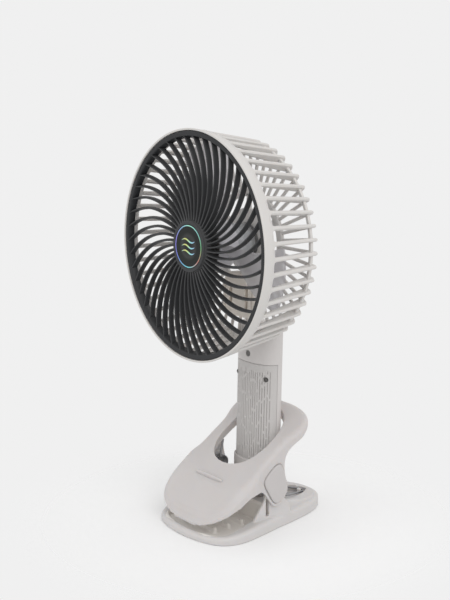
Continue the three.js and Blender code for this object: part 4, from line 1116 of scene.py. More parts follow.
@dataclass
class Cage:
    """The rear cage: a band with a ledge, ribs that turn the corner, rings, seat and wire box."""

    radius: float = 85.0
    wall: float = 1.5
    depth: float = 56.8
    ribs: int = 48
    tip: float = 76.1
    corner: float = 3.0
    ledge: float = 9.4
    root: float = 11.4
    rib_wide: float = 3.2
    rib_deep: float = 7.0
    rear_thick: float = 2.6
    rear_wide: float = 2.4
    bar_end: float = 38.0
    ring_depth: float = 52.6
    ring_wide: float = 2.7
    ring_thick: float = 2.4
    inner_ring: Pair = (39.5, 33.5)
    seat_arms: int = 6
    arm_wide: float = 5.0

    RIB_DEPTHS = (7.8, 8.6, 9.0, 9.4, 9.8, 10.3, 10.9, 11.6, 13, 17, 24, 32, 40, 48)
    CORNER_TURNS = (22.5, 45, 67.5, 90)
    BAR_SHARES = (0.03, 0.3, 0.6, 0.9, 1.0)
    SEAT_RADII = (23, 26, 30, 35.4)
    # Radius, and depth from the back of the cage.
    SEAT = (
        (0, -3.2), (24.6, -3.2), (25, -2.8), (25, -0.6), (24.4, 0), (20, 0), (19.4, -0.5), (0, -0.5),
    )
    STUB = ((-9, 9), (-77.85, -70.85))
    TONGUE = ((-9, 9), (-92.85, -71.5))
    WIRE_BOX_OUTLINE = ((-19, -57), (19, -57), (19, -31), (13, -24), (-13, -24), (-19, -31))

    def edge(self, depth: float) -> float:
        """Radius of the ribs' outer edges at a depth."""
        return self.radius - (self.radius - self.tip) * depth / self.depth

    @staticmethod
    def section(wide: float, outer: Pair, inner: Pair, angle: float) -> Points:
        """Section of a rib with its edges broken.

        Args:
            wide: Its width.
            outer: Radius and depth of its outer face.
            inner: Radius and depth of its inner face.
            angle: Its place round the axis.

        Returns:
            8 x 3 array.
        """
        through = math.hypot(outer[0] - inner[0], outer[1] - inner[1])
        half, c = wide / 2, min(0.32 * wide, 0.3 * through)
        flat = [
            (-half + c, 0), (half - c, 0), (half, c), (half, through - c), (half - c, through),
            (-half + c, through), (-half, through - c), (-half, c),
        ]
        out = []
        for side, t in flat:
            share = t / through
            radius = outer[0] + (inner[0] - outer[0]) * share
            out.append(polar(radius, angle, side, outer[1] + (inner[1] - outer[1]) * share))
        return np.array(out)

    def rib(self, shape: Shape, start: float) -> None:
        """Adds one rib, from the band to the inner ring.

        Args:
            shape: The shape that it joins.
            start: Its place round the cage, in radians.
        """
        rings = []
        bend = self.depth - self.corner
        for d in (*self.RIB_DEPTHS, bend):
            share = max(0.0, (d - self.root) / (bend - self.root))
            flare = 5.6 * (max(0.0, 11.9 - d) / 3.3) ** 2.4
            wide = self.rib_wide - 0.6 * share if d > self.root else self.rib_wide + flare
            deep = 3 + 4 * share
            rings.append(self.section(wide, (self.edge(d), d), (self.edge(d) - deep, d), start))
        pivot = self.edge(bend) - self.corner
        out = self.edge(bend) - self.rib_deep
        for turn in self.CORNER_TURNS:
            a = math.radians(turn)
            outer = (pivot + self.corner * math.cos(a), bend + self.corner * math.sin(a))
            inner = (out, bend + (self.depth - self.rear_thick - bend) * turn / 90)
            rings.append(self.section(self.rear_thick - 0.2 * turn / 90, outer, inner, start))
        for share in self.BAR_SHARES:
            radius = out + (self.bar_end - out) * share
            rings.append(self.section(
                self.rear_wide, (radius, self.depth), (radius, self.depth - self.rear_thick), start,
            ))
        shape.loft(rings)

    def make(self) -> bpy.types.Object:
        """Makes the cage.

        Returns:
            The cage's object.
        """
        shape = Shape()
        r, w, depth, ledge = self.radius, self.wall, self.depth, self.ledge
        band = [(r, 0), (self.edge(ledge), ledge), (79.5, ledge), (79.5, 5.4), (r - w, 5.4), (r - w, 0)]
        shape.turned(rounded(band, [0.55, 0.5, 0.3, 0.4, 0.2, 0.35], 4), 192)
        high, back = self.edge(52.3) - 1.9, self.ring_depth
        ring = box((high, high - self.ring_wide), (back, back - self.ring_thick))
        shape.turned(rounded(ring, 0.7, 4), 144)
        shape.turned(rounded(box(self.inner_ring, (depth, depth - 3)), 0.8, 4), 96)
        for i in range(self.ribs):
            self.rib(shape, 2 * math.pi * i / self.ribs)
        for i in range(self.seat_arms):
            a = i * math.pi / 3
            faces = [((radius, depth - 0.4), (radius, depth - 3)) for radius in self.SEAT_RADII]
            shape.loft([self.section(self.arm_wide, outer, inner, a) for outer, inner in faces])
        shape.slab(rounded(box(*self.STUB), 1.0, 4), 49.3, 62.9, "y", 0.5)
        shape.slab(rounded(box(*self.TONGUE), 1.0, 4), 59.9, 62.9, "y", 0.3)
        cage = shape.build("cage_frame", HEAD_AXES)
        seat = lathe("motor_seat", [(radius, depth + d) for radius, d in self.SEAT], 96)
        screw_holes(seat, (50, 60))
        finished(seat, BodyName.HANDLE, CAGE, ["rear_cage"])
        # The wire box's finish is painted light, lighter and warmer than the cage plastic.
        finished(self.wire_box(), BodyName.HANDLE, WIRE_BOX_PAINTED_LIGHT, ["rear_cage"], 40)
        return finished(cage, BodyName.HANDLE, CAGE, ["rear_cage"], 35)

    def wire_box(self) -> bpy.types.Object:
        """Makes the box that leads the wires from the motor's seat down to the neck.

        Returns:
            The box, which stands on the rear bars.
        """
        outline = rounded(self.WIRE_BOX_OUTLINE, [5, 5, 3, 2, 2, 3], 6)
        wires = Shape().slab(outline, 46.5, 55.4, "y", 1.0).build("wire_box", HEAD_AXES)
        for x in (-9.2, 9.2):
            slot = rounded(box((x - 1.7, x + 1.7), (-51, -34)), 0.8, 4)
            combine(wires, Shape().slab(slot, 44, 51.5, "y").build("slot", HEAD_AXES), Cut.CARVE)
        for x in (-15.6, 15.6):
            line = rounded(box((x - 0.3, x + 0.3), (-53, -32)), 0.2, 2)
            combine(wires, Shape().slab(line, 44, 47.1, "y").build("line", HEAD_AXES), Cut.CARVE)
        return wires


@dataclass
class Impeller:
    """Hub and three swept blades of smoked plastic.

    Each pair is a value at the hub and what it gains from there to the tip.
    """

    blades: int = 3
    tip: float = 74.85
    hub: float = 18.0
    root: float = 0.8
    thick: float = 1.6
    turn: float = -18.0
    bow: float = 8.0
    sweep: float = 2.0
    lead: Pair = (14.0, 11.5)
    trail: Pair = (30.0, 1.0)
    span: Pair = (44.0, -4.0)
    dish: Pair = (2.2, -2.0)
    rounding: float = 0.1

    STATIONS = (*np.linspace(0, 0.9, 13), 0.93, 0.96, 0.985, 1.0)
    HUB = (
        (0, 13.8), (16.4, 13.8), (17.8, 14.6), (18, 15.4), (18, 31), (16, 31), (16, 15), (4.5, 15),
        (4.5, 29), (1.8, 29), (1.8, 15.7), (0, 15.7),
    )
    CAP = ((0, 12.6), (14, 12.7), (16.6, 13), (17.3, 13.5), (17.3, 14.1), (0, 14.1))

    @staticmethod
    def along(pair: Pair, share: float) -> float:
        """Value at a share of the way to the tip."""
        return pair[0] + pair[1] * share

    def blade(self, shape: Shape, start: float) -> None:
        """Adds one blade with a rounded tip.

        Args:
            shape: The shape that it joins.
            start: Its place round the hub, in radians.
        """
        rings = []
        for share in self.STATIONS:
            radius = self.hub - self.root + (self.tip - self.hub + self.root) * share
            lead, trail = self.along(self.lead, share), self.along(self.trail, share)
            narrowed = 1 - self.rounding * max(0.0, (share - 0.9) / 0.1) ** 2
            span = math.radians(self.along(self.span, share)) * narrowed
            centre = math.radians(self.turn + self.bow * math.sin(math.pi * share) + self.sweep * share)
            dish = self.along(self.dish, share)
            front, back = [], []
            for u in np.linspace(0, 1, 19):
                angle = start + centre + (u - 0.5) * span
                depth = lead + (trail - lead) * u - math.sin(math.pi * u) * dish
                half = self.thick / 2 * (0.35 + 0.65 * math.sin(math.pi * (0.12 + 0.76 * u)))
                front.append(polar(radius, angle, 0, depth - half))
                back.append(polar(radius, angle, 0, depth + half))
            rings.append(np.array(front + back[::-1]))
        shape.loft(rings)

    def make(self) -> list[bpy.types.Object]:
        """Makes the blades, the hub and its dark front cap.

        Returns:
            The three pieces.
        """
        shape = Shape()
        for i in range(self.blades):
            self.blade(shape, 2 * math.pi * i / self.blades)
        blades = shape.build("impeller_blades", HEAD_AXES)
        finished(blades, BodyName.IMPELLER, SMOKE, ["fan_blade"], 50)
        hub = lathe("impeller_hub", self.HUB, 96)
        finished(hub, BodyName.IMPELLER, SMOKE_WALL, ["fan_blade"])
        cap = lathe("impeller_cap", self.CAP, 96)
        finished(cap, BodyName.IMPELLER, SMOKE_HUB, ["fan_blade"])
        return [blades, hub, cap]


@dataclass
class Motor:
    """The can and its end cap, turned smooth."""

    radius: float = 14.0

    def make(self) -> list[bpy.types.Object]:
        """Makes the can and the end cap.

        Returns:
            The two pieces.
        """
        r = self.radius
        can = lathe("motor_housing", [
            (3.4, 32), (12.6, 32), (13.5, 32.3), (r, 33.2), (r, 50.2), (12.8, 50.2), (12.8, 33.2),
            (3.4, 33.2),
        ], 72)
        finished(can, BodyName.HANDLE, STEEL, ["motor_can"])
        cap = lathe("motor_back", [
            (12.5, 48.2), (12.5, 50.5), (r, 50.5), (r, 52.8), (13.5, 53.3), (0, 53.3), (0, 51.7), (3.4, 51.7),
            (3.4, 48.2),
        ], 72)
        screw_holes(cap, (46, 55))
        finished(cap, BodyName.HANDLE, BLACK, ["motor_end_cap"])
        return [can, cap]


@dataclass
class Handle:
    """Neck and rear half, the front half with its pressed grooves, and the socket that tilts."""

    half_wide: float = 21.3
    half_deep: float = 12.2
    power: float = 2.2
    wall: float = 1.5
    bottom: float = 9.6
    grip_top: float = 105.5
    neck_top: float = 136.0
    neck_round: float = 7.0
    fit: float = 0.3
    neck_screw: float = 112.0
    button: float = 112.0
    lens: float = 101.0
    shell_screw: Pair = (16.4, 94.0)
    columns: int = 21
    column_pitch: float = 2.1
    groove_half: float = 0.34
    groove_deep: float = 0.75
    dash: Pair = (7.0, 26.0)
    gap: Pair = (0.8, 1.7)
    first_dash: float = 12.5
    shortest: float = 3.0
    skin_across: int = 380
    skin_up: int = 300
    end_round: float = 0.5
    lip: float = 0.35
    knuckle: float = 7.6
    knuckle_half: float = 14.0
    seed: int = 11

    TOP_TURNS = (12, 24, 36, 48, 60, 70, 78, 84.6)
    BUTTON = (
        (0, 8), (1.6, 8), (1.6, 8.8), (5.4, 8.8), (5.4, 9.8), (4.4, 9.8), (4.4, 12.5), (4.2, 12.95),
        (3.8, 13.08), (2.6, 12.86), (0, 12.72),
    )
    LENS = (
        (0, 9.7), (2.4, 9.7), (2.4, 10.4), (1.6, 10.4), (1.6, 12.2), (1.35, 12.42), (0.8, 12.5), (0, 12.5),
    )

    def ring(self, margin: float, height: float, count: int = 168) -> Points:
        """Ring of the oval, grown or shrunk, at a height."""
        flat = oval(self.half_wide + margin, self.half_deep + margin, self.power, count)
        return np.c_[flat, np.full(count, height)]

    def column(self, margin: float, low: float, top: float) -> Shape:
        """Oval column with a rounded top.

        Args:
            margin: Growth of its oval.
            low: Height of its foot.
            top: Height of its top.

        Returns:
            The shape.
        """
        rings = [self.ring(margin, z) for z in np.linspace(low, top - self.neck_round, 12)]
        for a in np.radians(self.TOP_TURNS):
            shrink = self.neck_round * (1 - math.cos(a))
            rings.append(self.ring(margin - shrink, top - self.neck_round + self.neck_round * math.sin(a)))
        return Shape().loft(rings)

    @staticmethod
    def block(x: Pair, y: Pair, z: Pair) -> bpy.types.Object:
        """A square-edged tool for cutting or filling."""
        return Shape().slab(box(x, y), *z).build("block", HANDLE_AXES)

    @staticmethod
    def drill(radius: float, x: float, y: Pair, height: float) -> bpy.types.Object:
        """A round tool along y for cutting."""
        return lathe("drill", box((0, radius), y), 40, (x, height), HANDLE_AXES)

    def neck(self) -> bpy.types.Object:
        """Makes the neck and rear half in one moulding.

        Returns:
            The moulding, with room for the front half, the cage's stub, screw, button, lens and port.
        """
        obj = self.column(0, self.bottom, self.neck_top).build("handle_back", HANDLE_AXES)
        inner = self.column(-self.wall, self.bottom + 2, self.neck_top - self.wall)
        combine(obj, inner.build("hollow", HANDLE_AXES), Cut.CARVE)
        cuts = [
            self.block((-31, 31), (-31, 0), (4.6, self.grip_top)),
            self.block((-9.3, 9.3), (-15.2, -7.2), (120.7, 128.3)),
            self.drill(SCREW_HOLE, 0, (-15, -9), self.neck_screw),
            self.drill(2.5, 0, (-15, -self.half_deep + 0.9), self.neck_screw),
            self.drill(4.8, 0, (6.5, 15), self.button),
            self.drill(1.9, 0, (6.5, 15), self.lens),
            self.block((-4.8, 4.8), (8, 15), (87.1, 90.9)),
        ]
        for tool in cuts:
            combine(obj, tool, Cut.CARVE)
        return finished(obj, BodyName.HANDLE, NECK, ["handle_rear_shell"], 30)

    def dashes(self) -> list[list[Pair]]:
        """Heights where each groove's dashes start and end.

        Returns:
            For each column a list of (low, high).
        """
        rng = np.random.default_rng(self.seed)
        columns = []
        for _ in range(self.columns):
            z = self.first_dash + rng.uniform(0, 6)
            top = self.grip_top - 3.5 - rng.uniform(0, 5)
            runs = []
            while z < top - self.shortest:
                end = min(top, z + rng.uniform(*self.dash))
                runs.append((z, end))
                z = end + rng.uniform(*self.gap)
            columns.append(runs)
        return columns

    def front(self) -> bpy.types.Object:
        """Makes the front half, with staggered grooves pressed into it.

        Returns:
            The front half.
        """
        whole = oval(self.half_wide, self.half_deep, self.power, 4000)
        arc = whole[whole[:, 1] < -self.fit]
        run = np.r_[0, np.cumsum(np.linalg.norm(np.diff(arc, axis=0), axis=1))]
        at = np.linspace(0, run[-1], self.skin_across)
        outer = np.c_[np.interp(at, run, arc[:, 0]), np.interp(at, run, arc[:, 1])]
        way = np.gradient(outer, axis=0)
        way /= np.linalg.norm(way, axis=1)[:, None]
        inward = np.c_[-way[:, 1], way[:, 0]]
        heights = np.linspace(self.bottom, self.grip_top - self.fit, self.skin_up)
        middle = run[-1] / 2
        press = np.zeros((self.skin_up, self.skin_across))
        for i, runs in enumerate(self.dashes()):
            centre = middle + (i - (self.columns - 1) / 2) * self.column_pitch
            side = np.clip(1.25 - (np.abs(at - centre) / self.groove_half) ** 2, 0, 1)
            for low, high in runs:
                end = np.clip(np.minimum(heights - low, high - heights), 0, 1) ** 0.8
                press = np.maximum(press, self.groove_deep * end[:, None] * side[None, :])
        soft = np.minimum(np.minimum(heights - self.bottom, heights[-1] - heights), self.end_round)
        lip = self.lip * (1 - np.sqrt(np.clip(soft / self.end_round, 0, 1)))
        inner_xy = outer + inward * self.wall
        inner_xy[:, 1] = np.minimum(inner_xy[:, 1], -self.fit)
        rings = []
        for row, height in enumerate(heights):
            skin = outer + inward * (press[row] + lip[row])[:, None]
            skin[:, 1] = np.minimum(skin[:, 1], -self.fit)
            ring = np.vstack([skin, inner_xy[::-4]])
            rings.append(np.c_[ring, np.full(len(ring), height)])
        obj = Shape().loft(rings).build("handle_front", HANDLE_AXES)
        across, height = self.shell_screw
        for x in (-across, across):
            boss = self.drill(2.6, x, (-10.6, -5), height)
            combine(boss, self.column(0, self.bottom, self.neck_top).build("limit", HANDLE_AXES), Cut.KEEP)
            combine(obj, boss, Cut.JOIN)
            combine(obj, self.drill(2.1, x, (-15, -6.6), height), Cut.CARVE)
            combine(obj, self.drill(SCREW_HOLE, x, (-8, 0), height), Cut.CARVE)
        return finished(obj, BodyName.HANDLE, GRIP, ["handle_front_shell"], 62)

    def socket(self) -> bpy.types.Object:
        """Makes the socket that the handle stands in, with the knuckle it tilts on.

        Returns:
            The socket.
        """
        low, top, margin, foot_round, rim_round = 7.0, 28.5, 1.5, 1.6, 0.6
        rings = []
        for a in np.radians((0, 20, 40, 60, 75, 90)):
            shrink, rise = foot_round * (1 - math.sin(a)), foot_round * (1 - math.cos(a))
            rings.append(self.ring(margin - shrink, low + rise))
        for z in np.linspace(9.5, top - 0.7, 5):
            rings.append(self.ring(margin, z))
        for a in np.radians((30, 60, 90)):
            height = top - rim_round + rim_round * math.sin(a)
            rings.append(self.ring(margin - rim_round * (1 - math.cos(a)), height))
        obj = Shape().loft(rings).build("tilt_socket", HANDLE_AXES)
        hollow = Shape().loft([self.ring(self.fit, self.bottom - 0.3), self.ring(self.fit, 32)])
        combine(obj, hollow.build("hollow", HANDLE_AXES), Cut.CARVE)
        ends = (-self.knuckle_half, self.knuckle_half)
        combine(obj, bar(self.knuckle, (0, 0), ends, HANDLE_AXES, 48), Cut.JOIN)
        combine(obj, self.block(ends, (-self.knuckle, self.knuckle), (0, 8)), Cut.JOIN)
        combine(obj, bar(2.5, (0, 0), (-20.0, 20.0), HANDLE_AXES, 32), Cut.CARVE)
        return finished(obj, BodyName.HANDLE, COLLAR, ["handle_socket"], 34)

    def controls(self) -> list[bpy.types.Object]:
        """Makes the button and the lens at the back.

        Returns:
            The two pieces.
        """
        button = lathe("button_dish", self.BUTTON, 72, (0, self.button), HANDLE_AXES)
        finished(button, BodyName.BUTTON, NECK, ["power_button"])
        lens = lathe("lens_dome", self.LENS, 40, (0, self.lens), HANDLE_AXES)
        finished(lens, BodyName.HANDLE, LENS, ["indicator_lens"])
        return [button, lens]

    def make(self) -> list[bpy.types.Object]:
        """Makes the handle's pieces."""
        return [self.neck(), self.front(), self.socket(), *self.controls()]


@dataclass
class Clamp:
    """Foot and lever of the sprung clamp, with the caps over its hinge.

    Outlines are half plans in x and y, tables of y against a size, or side views in y and z.
    """

    hinge: Pair = (-3.0, 38.0)
    wall: float = 2.4
    cheek: float = 38.5
    nose_half: float = 42.0
    rear_half: float = 42.0
    grain: float = 0.45
    smoothed: int = 5
    pin: float = 2.7
    tilt_axis: Pair = (10.9, 18.0)
    rim_round: float = 3.0
    ear_round: float = 7.0
    ear_thick: float = 2.6
    ear_gap: float = 0.5
    tooth_half: float = 19.0
    nose_power: float = 3.6
    rear_power: float = 2.6
    nose_solid: float = -55.5
    opening_rim: float = 1.8
    opening_deep: float = 7.0
    dimple: float = 1.4
    dimple_at: Triple = (21.0, -51.1, 27.2)
    lip_near: float = 2.0
    lip_from: float = -40.0
    lip_rounds: int = 16
    ridge_y: float = -36.3
    ridge_half: float = 16.0
    ridge_wide: float = 1.9
    ridge_high: float = 2.5

    FOOT_OUTLINE = (
        (0, -64.6), (8, -64.3), (15, -63.4), (22, -62), (28, -60.2), (33.5, -57.6), (38, -54), (41.4, -49),
        (43.4, -43), (44, -37), (43.4, -29), (41.8, -20), (39.4, -8), (37.2, 2), (35.2, 14), (33.2, 24),
        (30.6, 35), (27.4, 45), (23.6, 53), (19, 59), (13.4, 63.4), (7, 65.8), (0, 66.5),
    )
    RIM_HEIGHT = ((-66, 5.4), (-52, 6.2), (-38, 8.2), (-22, 9.6), (0, 10), (40, 10), (60, 9.6), (67, 9))
    RIM_WIDTH = ((-66, 5.5), (-50, 7), (-36, 9.4), (-20, 11), (0, 11), (67, 11))
    DECK_SIDE = (
        (-5, 1), (-5, 16.6), (-3.4, 18.6), (13, 18.6), (22, 16.4), (34, 12.8), (46, 10.8), (58, 10.3),
        (58, 1),
    )
    WELL = ((-14.4, 14.4), (1.7, 20.1))
    POCKET = (
        (-19, 28), (19, 28), (16, 38), (10.5, 50), (6, 58), (3, 60.4), (0, 61), (-3, 60.4), (-6, 58),
        (-10.5, 50), (-16, 38),
    )
    SPRING_SLOT = ((-9.9, -6.6), (11.5, 25.5))
    TEETH = (-45, -32, -19)
    EAR_SIDE = ((-23, 6), (-21, 11), (-18.3, 14.5), (-13.6, 20.6), (-11, 24.2), (-10, 31))
    EAR_BACK = ((4.2, 31), (7, 24), (13, 18), (16, 8))
    JAW_TOP = (
        (-60.5, 10.8), (-60.2, 11.5), (-59.6, 13.2), (-58.8, 15.2), (-57.7, 17.4), (-56.2, 19.8),
        (-54.3, 22.2), (-52, 24.8), (-50, 27), (-47, 30.4), (-44, 33.6), (-40, 37.6), (-30, 44.3),
        (-10, 57.7), (37, 89.2),
    )
    JAW_EDGE = (
        (-62, 8), (-60.2, 8.8), (-59.6, 10.2), (-58.8, 12.2), (-57.7, 14.1), (-56.2, 15.8), (-54.3, 17.5),
        (-52, 19.2), (-49, 21), (-44.7, 23.6), (-39, 26.6), (-34, 30), (-28, 32.8), (-24, 33.6),
        (-20.5, 33.7), (-17, 33.3), (-14, 31.5), (-11.5, 28.5), (-9, 25), (-6, 21), (-3, 19), (0.5, 19.2),
        (4, 21.5), (7.5, 26), (9.3, 31.5), (8.6, 36), (7, 42), (6.3, 47), (6.7, 53.7), (9.4, 60.1),
        (14.2, 65.1), (21.9, 70.6), (27.3, 75.8), (31, 79.5), (38, 84),
    )
    JAW_CREASE = (
        (-60.2, 11.2), (-59.6, 12.9), (-58.8, 14.8), (-57.7, 16.9), (-56.2, 19), (-54.3, 20.9), (-52, 22.8),
        (-49, 25), (-44.7, 28), (-39, 32), (-32, 36.6), (-26, 41), (-20, 46),
    )
    # Place along the lever, with the shoulder's rounding and the angle in degrees at its crease.
    SHOULDER = ((-58, 2.2), (-40, 6.5), (-20, 5.0))
    CRISP = ((-30, 50.0), (-16, 0.0))
    CAP_OUTLINE = (
        (-0.1, 51.9), (-3.4, 50.8), (-8.2, 47.4), (-12.4, 43.4), (-13.9, 40.6), (-13.2, 37.2), (-9.6, 30.4),
        (-6, 24.6), (-4, 22.4), (-1.9, 21.7), (0.8, 22.3), (3.6, 24.4), (7.6, 28.8), (8.6, 31.4), (8, 35.4),
        (6, 42.4), (3.4, 49.2), (1.8, 51.4),
    )

    @staticmethod
    def side_slab(outline: Sequence[Pair], ends: Pair) -> bpy.types.Object:
        """Outline in y and z, between two places across."""
        return Shape().slab(outline, *ends, "x").build("slab")

    @staticmethod
    def both_sides(near: float, far: float) -> list[Pair]:
        """Spans of x on the left and on the right between two distances from the middle."""
        return [(-far, -near), (near, far)]

    @staticmethod
    def post(radius: float, x: float, y: float, low: float, high: float) -> bpy.types.Object:
        """Makes a round post with a domed top.

        Args:
            radius: Its radius.
            x: Its place across the foot.
            y: Its place along the foot.
            low: Height of its foot.
            high: Height of its top.

        Returns:
            The post.
        """
        a = angles(32)
        rings = []
        for share, z in ((1, low), (1, high - 0.6), (0.92, high - 0.25), (0.7, high - 0.05), (0.3, high)):
            flat = np.c_[x + radius * share * np.cos(a), y + radius * share * np.sin(a)]
            rings.append(np.c_[flat, np.full(len(a), z)])
        return Shape().loft(rings).build("post")

    def foot(self) -> bpy.types.Object:
        """Makes the foot, which is also the lower jaw.

        Returns:
            The foot.
        """
        half = list(self.FOOT_OUTLINE)
        outline = half + [(-x, y) for x, y in half[-2:0:-1]]
        foot = even(flowing(outline, 10, True), 260)
        height, width = read(self.RIM_HEIGHT, foot[:, 1]), read(self.RIM_WIDTH, foot[:, 1])

        def ring(distance: float | Points, z: float | Points) -> Points:
            """Outline of the foot moved inwards, at a height."""
            return np.c_[inset(foot, distance), np.broadcast_to(z, len(foot))]

        rings = [ring(0.7, 0), ring(0.2, 0.25), ring(0, 0.8), ring(0, height - 3.4)]
        for a in np.radians((15, 30, 45, 60, 75, 90)):
            shrink, drop = self.rim_round * (1 - math.cos(a)), self.rim_round * (1 - math.sin(a))
            rings.append(ring(shrink, height - drop))
        rings += [ring(width - 1.6, height), ring(width - 0.7, height - 0.3), ring(width - 0.1, height - 1.2)]
        rings.append(ring(width + 0.4, 2.4))
        obj = Shape().loft(rings).build("foot_shell")
        deck = self.side_slab(self.DECK_SIDE, (-40, 40))
        plan = Shape().slab(inset(foot, 3.4), 1, 40).build("plan")
        combine(obj, combine(deck, plan, Cut.KEEP), Cut.JOIN)
        out = self.cheek - self.wall - self.ear_gap
        (y0, z0), r = self.hinge, self.ear_round
        top = [(y0 + r * math.cos(a), z0 + r * math.sin(a)) for a in np.linspace(math.pi, 0, 21)]
        ear = (*self.EAR_SIDE, *top, *self.EAR_BACK)
        for ends, knuckle in zip(self.both_sides(out - self.ear_thick, out), self.both_sides(14.4, 19.8)):
            combine(obj, self.side_slab(ear, ends), Cut.JOIN)
            combine(obj, bar(5, self.tilt_axis, knuckle), Cut.JOIN)
        for y in self.TEETH:
            tooth = [(y - 2, 1.4), (y + 2, 1.4), (y + 0.6, 5.0), (y - 0.6, 5.0)]
            combine(obj, self.side_slab(tooth, (-self.tooth_half, self.tooth_half)), Cut.JOIN)
            for side in (-1, 1):
                combine(obj, self.post(1.5, side * 18.0, y, 2.0, 6.6), Cut.JOIN)
        combine(obj, Shape().slab(box(*self.WELL), 9.4, 60).build("well"), Cut.CARVE)
        combine(obj, Shape().slab(rounded(self.POCKET, 1.5, 4), 4, 60).build("pocket"), Cut.CARVE)
        combine(obj, bar(2.5, self.tilt_axis, (-19.7, 19.7)), Cut.CARVE)
        for ends in self.both_sides(out - self.ear_thick - 1, out + 1):
            combine(obj, self.side_slab(box(*self.SPRING_SLOT), ends), Cut.CARVE)
            combine(obj, bar(self.pin, self.hinge, ends), Cut.CARVE)
        combine(obj, self.post(1.8, 0, 55.4, 3, 9.4), Cut.JOIN)
        soften(obj, self.grain, self.smoothed)
        finished(obj, BodyName.FOOT, FOOT, ["lower_jaw"], 60)
        side_x, side_y = np.array(self.FOOT_OUTLINE, float).T
        rim_y, rim_wide = np.array(self.RIM_WIDTH, float).T

        def tray(at: Vector, way: Vector) -> bool:
            """Whether a face lies in the tray or on the deck's front."""
            room = np.interp(at.y, side_y, side_x) - np.interp(at.y, rim_y, rim_wide)
            return -59.5 < at.y < -4 and abs(at.x) < room + 0.3 and way.z > -0.5

        # Painted light: the tray and the deck's front get a lighter, warmer colour than the foot, standing in
        # for light bounced into the shaded tray.
        paint_light_inside(obj, FOOT_INSIDE_PAINTED_LIGHT, tray)
        return obj

    def half(self, y: float) -> float:
        """Half width of the lever, wider ahead of the cheeks and behind them.

        Args:
            y: Place along the lever.

        Returns:
            The half width.
        """
        wide, share = self.rear_half, min(1.0, max(0.0, (y - 6) / 14))
        if y < -14:
            wide, share = self.nose_half, min(1.0, (-14 - y) / 12)
        return self.cheek + (wide - self.cheek) * share * share * (3 - 2 * share)

    def plan(self) -> Points:
        """Plan outline of the lever, from the middle of its nose round its right side.

        Returns:
            300 x 2 array.
        """
        half = []
        for a in np.linspace(-math.pi / 2, 0, 60):
            c, s, power = math.cos(a), math.sin(a), 2 / self.nose_power
            half.append((max(0.0, c) ** power * self.nose_half, -(abs(s) ** power) * 34 - 26))
        half += [(self.half(y), y) for y in np.linspace(-25, 19, 40)]
        for a in np.linspace(0, math.pi / 2, 60):
            c, s, power = math.cos(a), math.sin(a), 2 / self.rear_power
            half.append((max(0.0, c) ** power * self.half(20), s**power * 17 + 20))
        half[0] = (0.0, half[0][1])
        half[-1] = (0.0, half[-1][1])
        return even(np.array(half + [(-x, y) for x, y in half[-2:0:-1]]), 300)

    def top(self, y: Points) -> Points:
        """Height of the lever's top at each place."""
        return read(flowing(self.JAW_TOP, 12), y)

    def body(self, margin: float, bottom: float) -> bpy.types.Object:
        """Solid under the lever's top, shrunk by a margin.

        Its side walls end in a crease ahead of the hinge, and run smoothly into the top behind it.

        Args:
            margin: How far it is shrunk.
            bottom: Height of its foot.

        Returns:
            The solid.
        """
        plan = self.plan()
        outline = inset(plan, margin)
        blunt = read(self.SHOULDER, plan[:, 1])
        crisp = np.radians(read(self.CRISP, plan[:, 1]))
        shoulder, drop = blunt - min(margin, 1.8), margin * 1.2
        crease = read(self.JAW_CREASE, plan[:, 1])
        ahead = np.clip((-16 - plan[:, 1]) / 8, 0, 1)
        rings = [np.c_[outline, np.full(len(outline), bottom)]]
        for i, share in enumerate(np.linspace(0, 1, 10)):
            a = crisp + (math.pi / 2 - crisp) * share
            ring = inset(outline, shoulder * (np.cos(crisp) - np.cos(a)) / np.cos(crisp))
            top = self.top(ring[:, 1])
            fall = ahead * (top - crease) + (1 - ahead) * shoulder
            height = top - drop - fall * (1 - np.sin(a)) / (1 - np.sin(crisp))
            rings.append(np.c_[ring, np.maximum(bottom + 1 + i * 0.1, height)])
        last = inset(outline, shoulder)
        for share in np.r_[np.linspace(0.96, 0.08, 23), 0.02]:
            y = -6 + (last[:, 1] + 6) * share
            rings.append(np.c_[last[:, 0] * share, y, self.top(y) - drop])
        return Shape().loft(rings).build("lever_body")

    def opening(self, margin: float) -> bpy.types.Object:
        """Tool for the opening that the handle stands in."""
        return Shape().slab(oval(26 + margin, 25.5 + margin, 2.3, 140, 2.5), 20, 120).build("opening")

    def cap_outline(self, margin: float) -> Points:
        """Smooth outline of a hinge cap, grown by a margin."""
        return inset(even(flowing(self.CAP_OUTLINE, 8, True), 120), -margin)

    def lever(self) -> bpy.types.Object:
        """Makes the lever, which is also the upper jaw.

        Returns:
            The lever.
        """
        obj = self.body(0, 0)
        hollow = self.body(self.wall, -10)
        combine(hollow, self.side_slab(box((self.nose_solid, 60), (-20, 120)), (-60, 60)), Cut.KEEP)
        combine(obj, hollow, Cut.CARVE)
        line = flowing(self.JAW_EDGE, 6)
        edge = list(map(tuple, line)) + [(50, 100), (-70, 100), (-70, 8)]
        combine(obj, self.side_slab(edge, (-60, 60)), Cut.KEEP)
        r, (x, y, z) = self.dimple, self.dimple_at
        ball = [(r * math.sin(t), y - r * math.cos(t)) for t in np.linspace(0, math.pi, 13)]
        combine(obj, lathe("dimple", ball, 24, (x, z), FLOOR_AXES), Cut.CARVE)
        rim = self.opening(self.opening_rim)
        combine(rim, self.body(0, 0), Cut.KEEP)
        lowered = self.body(0, 0)
        lowered.data.transform(Matrix.Translation((0, 0, -self.opening_deep * MM)))
        combine(rim, lowered, Cut.CARVE)
        combine(obj, rim, Cut.JOIN)
        combine(obj, self.opening(0), Cut.CARVE)
        for seat, bore in zip(self.both_sides(self.cheek - 1.2, 60), self.both_sides(30, 50)):
            combine(obj, self.side_slab(self.cap_outline(0.4), seat), Cut.CARVE)
            combine(obj, bar(self.pin, self.hinge, bore), Cut.CARVE)
        soften(obj, self.grain, self.smoothed)
        edge_y, edge_z = line[:80].T

